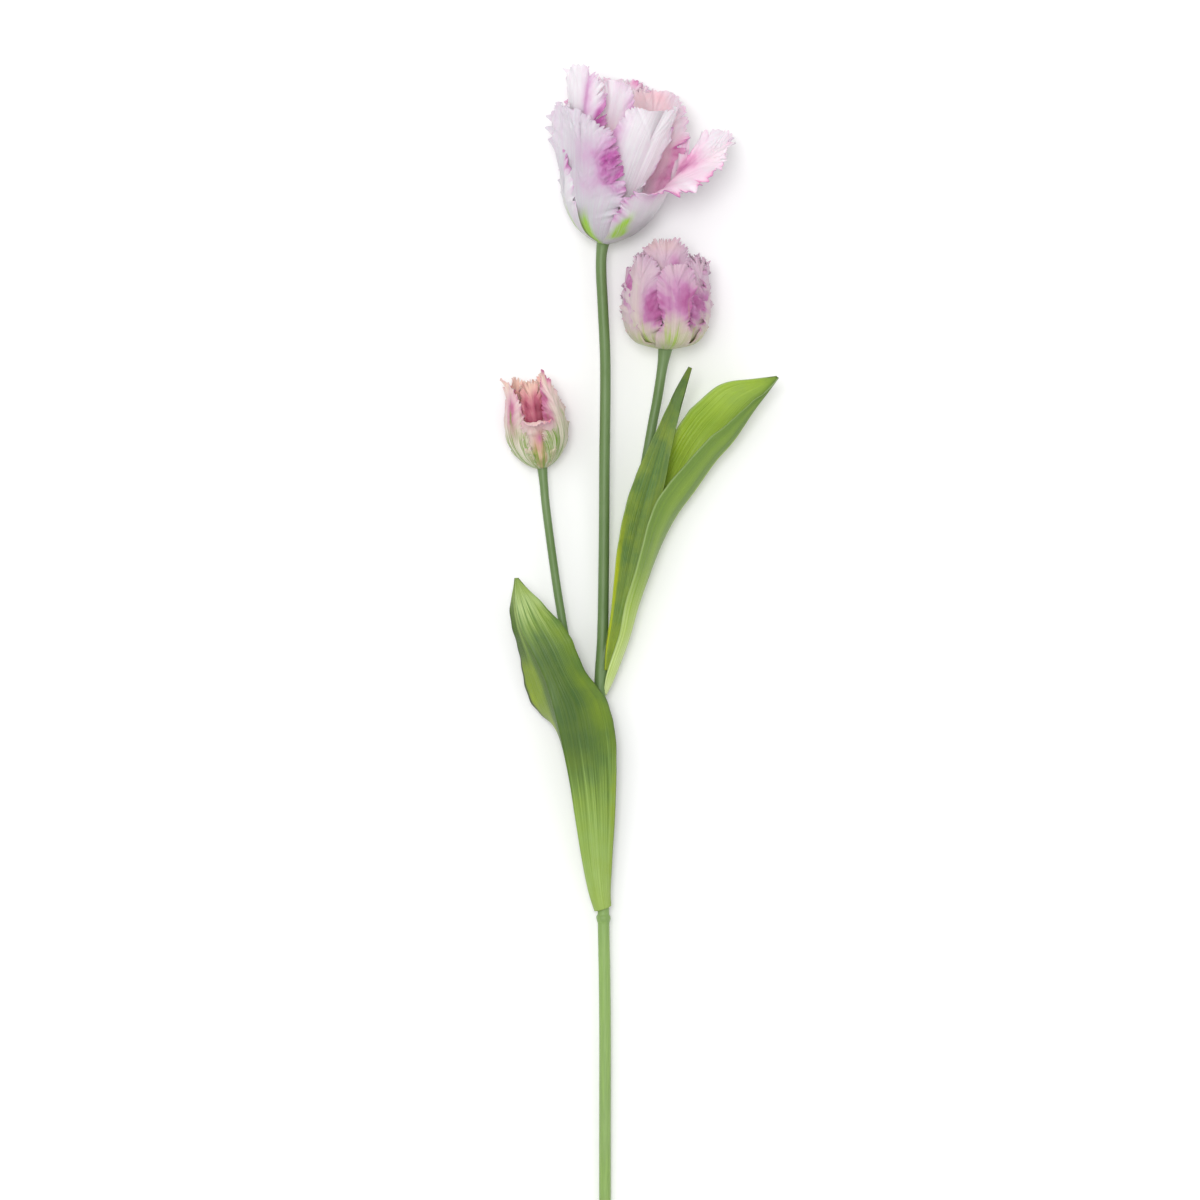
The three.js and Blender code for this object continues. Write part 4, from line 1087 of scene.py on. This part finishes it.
def stamen_finish():
    """Pale filament below, dark dusty anther above."""
    finish, tree, shader = new_finish("stamen_dust", 0.8, specular=0.15)
    grain = patches(tree, 1800, detail=4.0)
    dust = blend(tree, grain, tone(64, 44, 70), tone(104, 78, 96))
    height = ranged(tree, along_of(tree, "Object"), *ANTHER_FOOT)
    body = blend(tree, height, tone(214, 214, 176), dust)
    wire(tree, shader, body, grain, 0.5, 0.2)
    return finish


# A petal's colours: pale, shaded, blushed, deep, flame and warm. The first finish is the outside.
LARGE_FINISHES = [
    petal_finish("large_petal_outside", (232, 229, 232), (200, 200, 202), (210, 168, 202),
                 (180, 96, 162), (160, 204, 66), (226, 176, 182), lined=0.22),
    petal_finish("large_petal_inside", (232, 228, 233), (244, 212, 226), (234, 184, 210),
                 (196, 98, 160), (160, 204, 66), (240, 200, 205), lined=0.22),
]
# The front petal's outside is a darker, greyer copy of the large petals' outside: painted shade.
FRONT_SHADED_FINISHES = [
    petal_finish("front_petal_shaded_outside", (214, 210, 216), (190, 191, 194), (202, 162, 196),
                 (180, 96, 162), (156, 202, 62), (222, 170, 176), lined=0.3),
    LARGE_FINISHES[1],
]
HALF_FINISHES = [
    petal_finish("half_petal_outside", (202, 178, 194), (202, 196, 172), (188, 130, 172),
                 (170, 90, 144), (160, 190, 60), (212, 186, 178), striped=1.6, lined=0.22),
    petal_finish("half_petal_inside", (208, 186, 198), (206, 180, 190), (194, 140, 176),
                 (166, 84, 140), (184, 198, 110), (216, 192, 188), lined=0.22),
]
BUD_FINISHES = [
    petal_finish("bud_petal_outside", (228, 204, 202), (218, 215, 192), (198, 126, 158),
                 (164, 74, 114), (110, 150, 28), (234, 214, 190), striped=1.7),
    petal_finish("bud_petal_inside", (232, 206, 198), (228, 160, 160), (220, 120, 140),
                 (190, 70, 100), (226, 90, 110), (240, 214, 196)),
]
HEART_FINISHES = [
    petal_finish("bud_heart_outside", (222, 170, 168), (206, 140, 148), (178, 92, 114),
                 (138, 50, 74), (150, 160, 80), (240, 210, 188), lined=0.5),
    BUD_FINISHES[1],
]
TONGUE_FINISHES = [
    petal_finish("bud_tongue_outside", (222, 192, 196), (214, 208, 184), (198, 126, 158),
                 (164, 74, 114), (110, 150, 28), (202, 160, 124), striped=1.7),
    BUD_FINISHES[1],
]


# Leaf marks: sunned is painted sunlight and highlight, shaded is painted shade, and rim is the leaf's thin
# rim.
def lower_marks(s, q):
    left = ease(-q, 0.2, 0.45)
    sunned = left * ease(s, 0.36, 0.5) * (1 - ease(s, 0.66, 0.8))
    sunned += 0.35 * hump(q, 0.75, 0.12) * ease(s, 0.44, 0.52)
    sunned += 0.5 * ease(q, 0.82, 0.92) * (1 - ease(s, 0.3, 0.5))
    shaded = 0.75 * hump(q, 0.25, 0.4) * ease(s, 0.3, 0.45) * (1 - ease(s, 0.7, 0.84))
    shaded += 0.8 * ease(-q, 0.3, 0.55) * ease(s, 0.68, 0.76) * (1 - ease(s, 0.88, 0.96))
    shaded += 0.5 * hump(q, -0.12, 0.1) * ease(s, 0.4, 0.5)
    rim = ease(np.abs(q) + 0.03 * left, 0.95, 0.985) * mix(0.2, 0.9, left)
    return sunned, shaded, rim


# The outer wing is painted in shade, and a painted highlight runs along the ridge.
def upper_outer_marks(s, q):
    sunned = 0.3 * ease(s, 0.3, 0.6) * ease(-q, 0, 0.5)
    sunned += 0.6 * hump(q, 0.04, 0.05) * ease(s, 0.25, 0.5)
    folded = ease(q, 0.02, 0.14)
    shaded = 0.85 * folded * ease(s, 0.2, 0.42) * (1 - 0.5 * hump(q, 0.55, 0.16))
    shaded += 0.35 * hump(q, -0.12, 0.12) * ease(s, 0.2, 0.5) + 0.35 * ease(s, 0.92, 1)
    rim = ease(np.abs(q), 0.96, 1) * 0.6
    return sunned, shaded, rim


# A painted sunlit strip on the left near the base, and painted shade towards the right.
def upper_inner_marks(s, q):
    sunned = ease(-q, 0.62, 0.85) * (1 - ease(s, 0.36, 0.52))
    shaded = 0.35 * ease(q, 0.1, 0.8) * ease(s, 0.2, 0.4) * (1 - ease(s, 0.6, 0.8))
    shaded += 0.3 * hump(q, 0, 0.12) * ease(s, 0.2, 0.4)
    rim = ease(np.abs(q), 0.95, 1) * 0.3
    return sunned, shaded, rim


# Each leaf's colours from its base to its tip, then where it is sunlit, in shade, and at its rim.
LEAVES = [
    (
        "lower_leaf", LOWER_LEAF, lower_marks,
        # The bright stop at 0.9 is a painted highlight near the tip.
        [(0.0, 168, 196, 108), (0.24, 148, 180, 90), (0.42, 72, 108, 34), (0.7, 80, 116, 44),
         (0.82, 112, 146, 68), (0.9, 186, 208, 134), (1.0, 130, 160, 80)],
        (142, 166, 14), (48, 80, 22), (44, 62, 24),
    ),
    (
        "upper_outer_leaf", UPPER_OUTER_LEAF, upper_outer_marks,
        [(0.0, 226, 240, 176), (0.16, 192, 214, 126), (0.34, 148, 182, 44), (0.6, 146, 180, 50),
         (1.0, 128, 160, 60)],
        (172, 200, 40), (76, 110, 50), (150, 174, 110),
    ),
    (
        "upper_inner_leaf", UPPER_INNER_LEAF, upper_inner_marks,
        [(0.0, 156, 180, 60), (0.25, 106, 144, 76), (0.6, 82, 120, 54), (1.0, 78, 112, 56)],
        (190, 204, 20), (36, 72, 26), (112, 142, 70),
    ),
]


def green_leaves():
    for name, leaf, marks, stops, *colours in LEAVES:
        leaf_piece(name, leaf, leaf_finish(f"{name}_face", stops, *colours), marks)


# Table, light and camera

def table():
    deselect()
    bpy.ops.mesh.primitive_plane_add(size=8)
    top = bpy.context.object
    top.name = "table"
    finish, tree, shader = new_finish("pale_table", 0.75, specular=0.2)
    grain = product(tree, patches(tree, 3.0), 0.3)
    body = blend(tree, grain, (0.95, 0.95, 0.95, 1), (0.93, 0.93, 0.935, 1))
    tree.links.new(body, shader.inputs["Base Color"])
    top.data.materials.append(finish)


def soft_light(name, place, size, power):
    """A round lamp that faces the origin."""
    lamp = bpy.data.lights.new(name, "AREA")
    lamp.shape = "DISK"
    lamp.size = size
    lamp.energy = power
    holder = bpy.data.objects.new(name, lamp)
    holder.location = place
    holder.rotation_euler = (-Vector(place)).to_track_quat("-Z", "Y").to_euler()
    bpy.context.scene.collection.objects.link(holder)


def studio():
    scene = bpy.context.scene
    world = bpy.data.worlds.new("studio")
    world.use_nodes = True
    background = world.node_tree.nodes["Background"]
    background.inputs["Color"].default_value = (1, 1, 1, 1)
    background.inputs["Strength"].default_value = 0.62
    scene.world = world
    scene.view_settings.view_transform = "Standard"
    soft_light("window", (-1.3, 0.9, 2.4), 2.2, 15)
    soft_light("fill", (1.6, -0.8, 2.2), 2.2, 7)
    soft_light("overhead", (-0.35, 0.5, 4.4), 1.6, 80)


# The picture is 720 mm across, with its middle at this place from the cut end.
PICTURE_MIDDLE = np.array([-3.0, 400.2, 25.0])
PICTURE_WIDTH = 0.72
LENS = 200
SENSOR = 36


def camera():
    view = bpy.data.cameras.new("camera")
    view.lens = LENS
    view.sensor_width = SENSOR
    holder = bpy.data.objects.new("camera", view)
    aim = (PICTURE_MIDDLE - MIDDLE) * MM
    holder.location = (aim[0], aim[1], aim[2] + PICTURE_WIDTH * LENS / SENSOR)
    bpy.context.scene.collection.objects.link(holder)
    bpy.context.scene.camera = holder


camera()
studio()
table()
stem_piece(stem_finish())
green_leaves()
bloom_petals("large_bloom", LARGE_BLOOM, LARGE_PETALS, LARGE_LAYERS, LARGE_COMMON, LARGE_FINISHES,
             {"front_left": FRONT_SHADED_FINISHES})
pistil_piece(grainy_finish("pistil_green", tone(176, 190, 120), tone(208, 214, 156), 700, 0.6))
stamen_pieces(stamen_finish())
bloom_petals("half_bloom", HALF_BLOOM, HALF_PETALS, HALF_LAYERS, HALF_COMMON, HALF_FINISHES, {})
bloom_petals("bud", BUD, BUD_PETALS, BUD_LAYERS, BUD_COMMON, BUD_FINISHES,
             {"front": TONGUE_FINISHES, "inner_front": HEART_FINISHES})
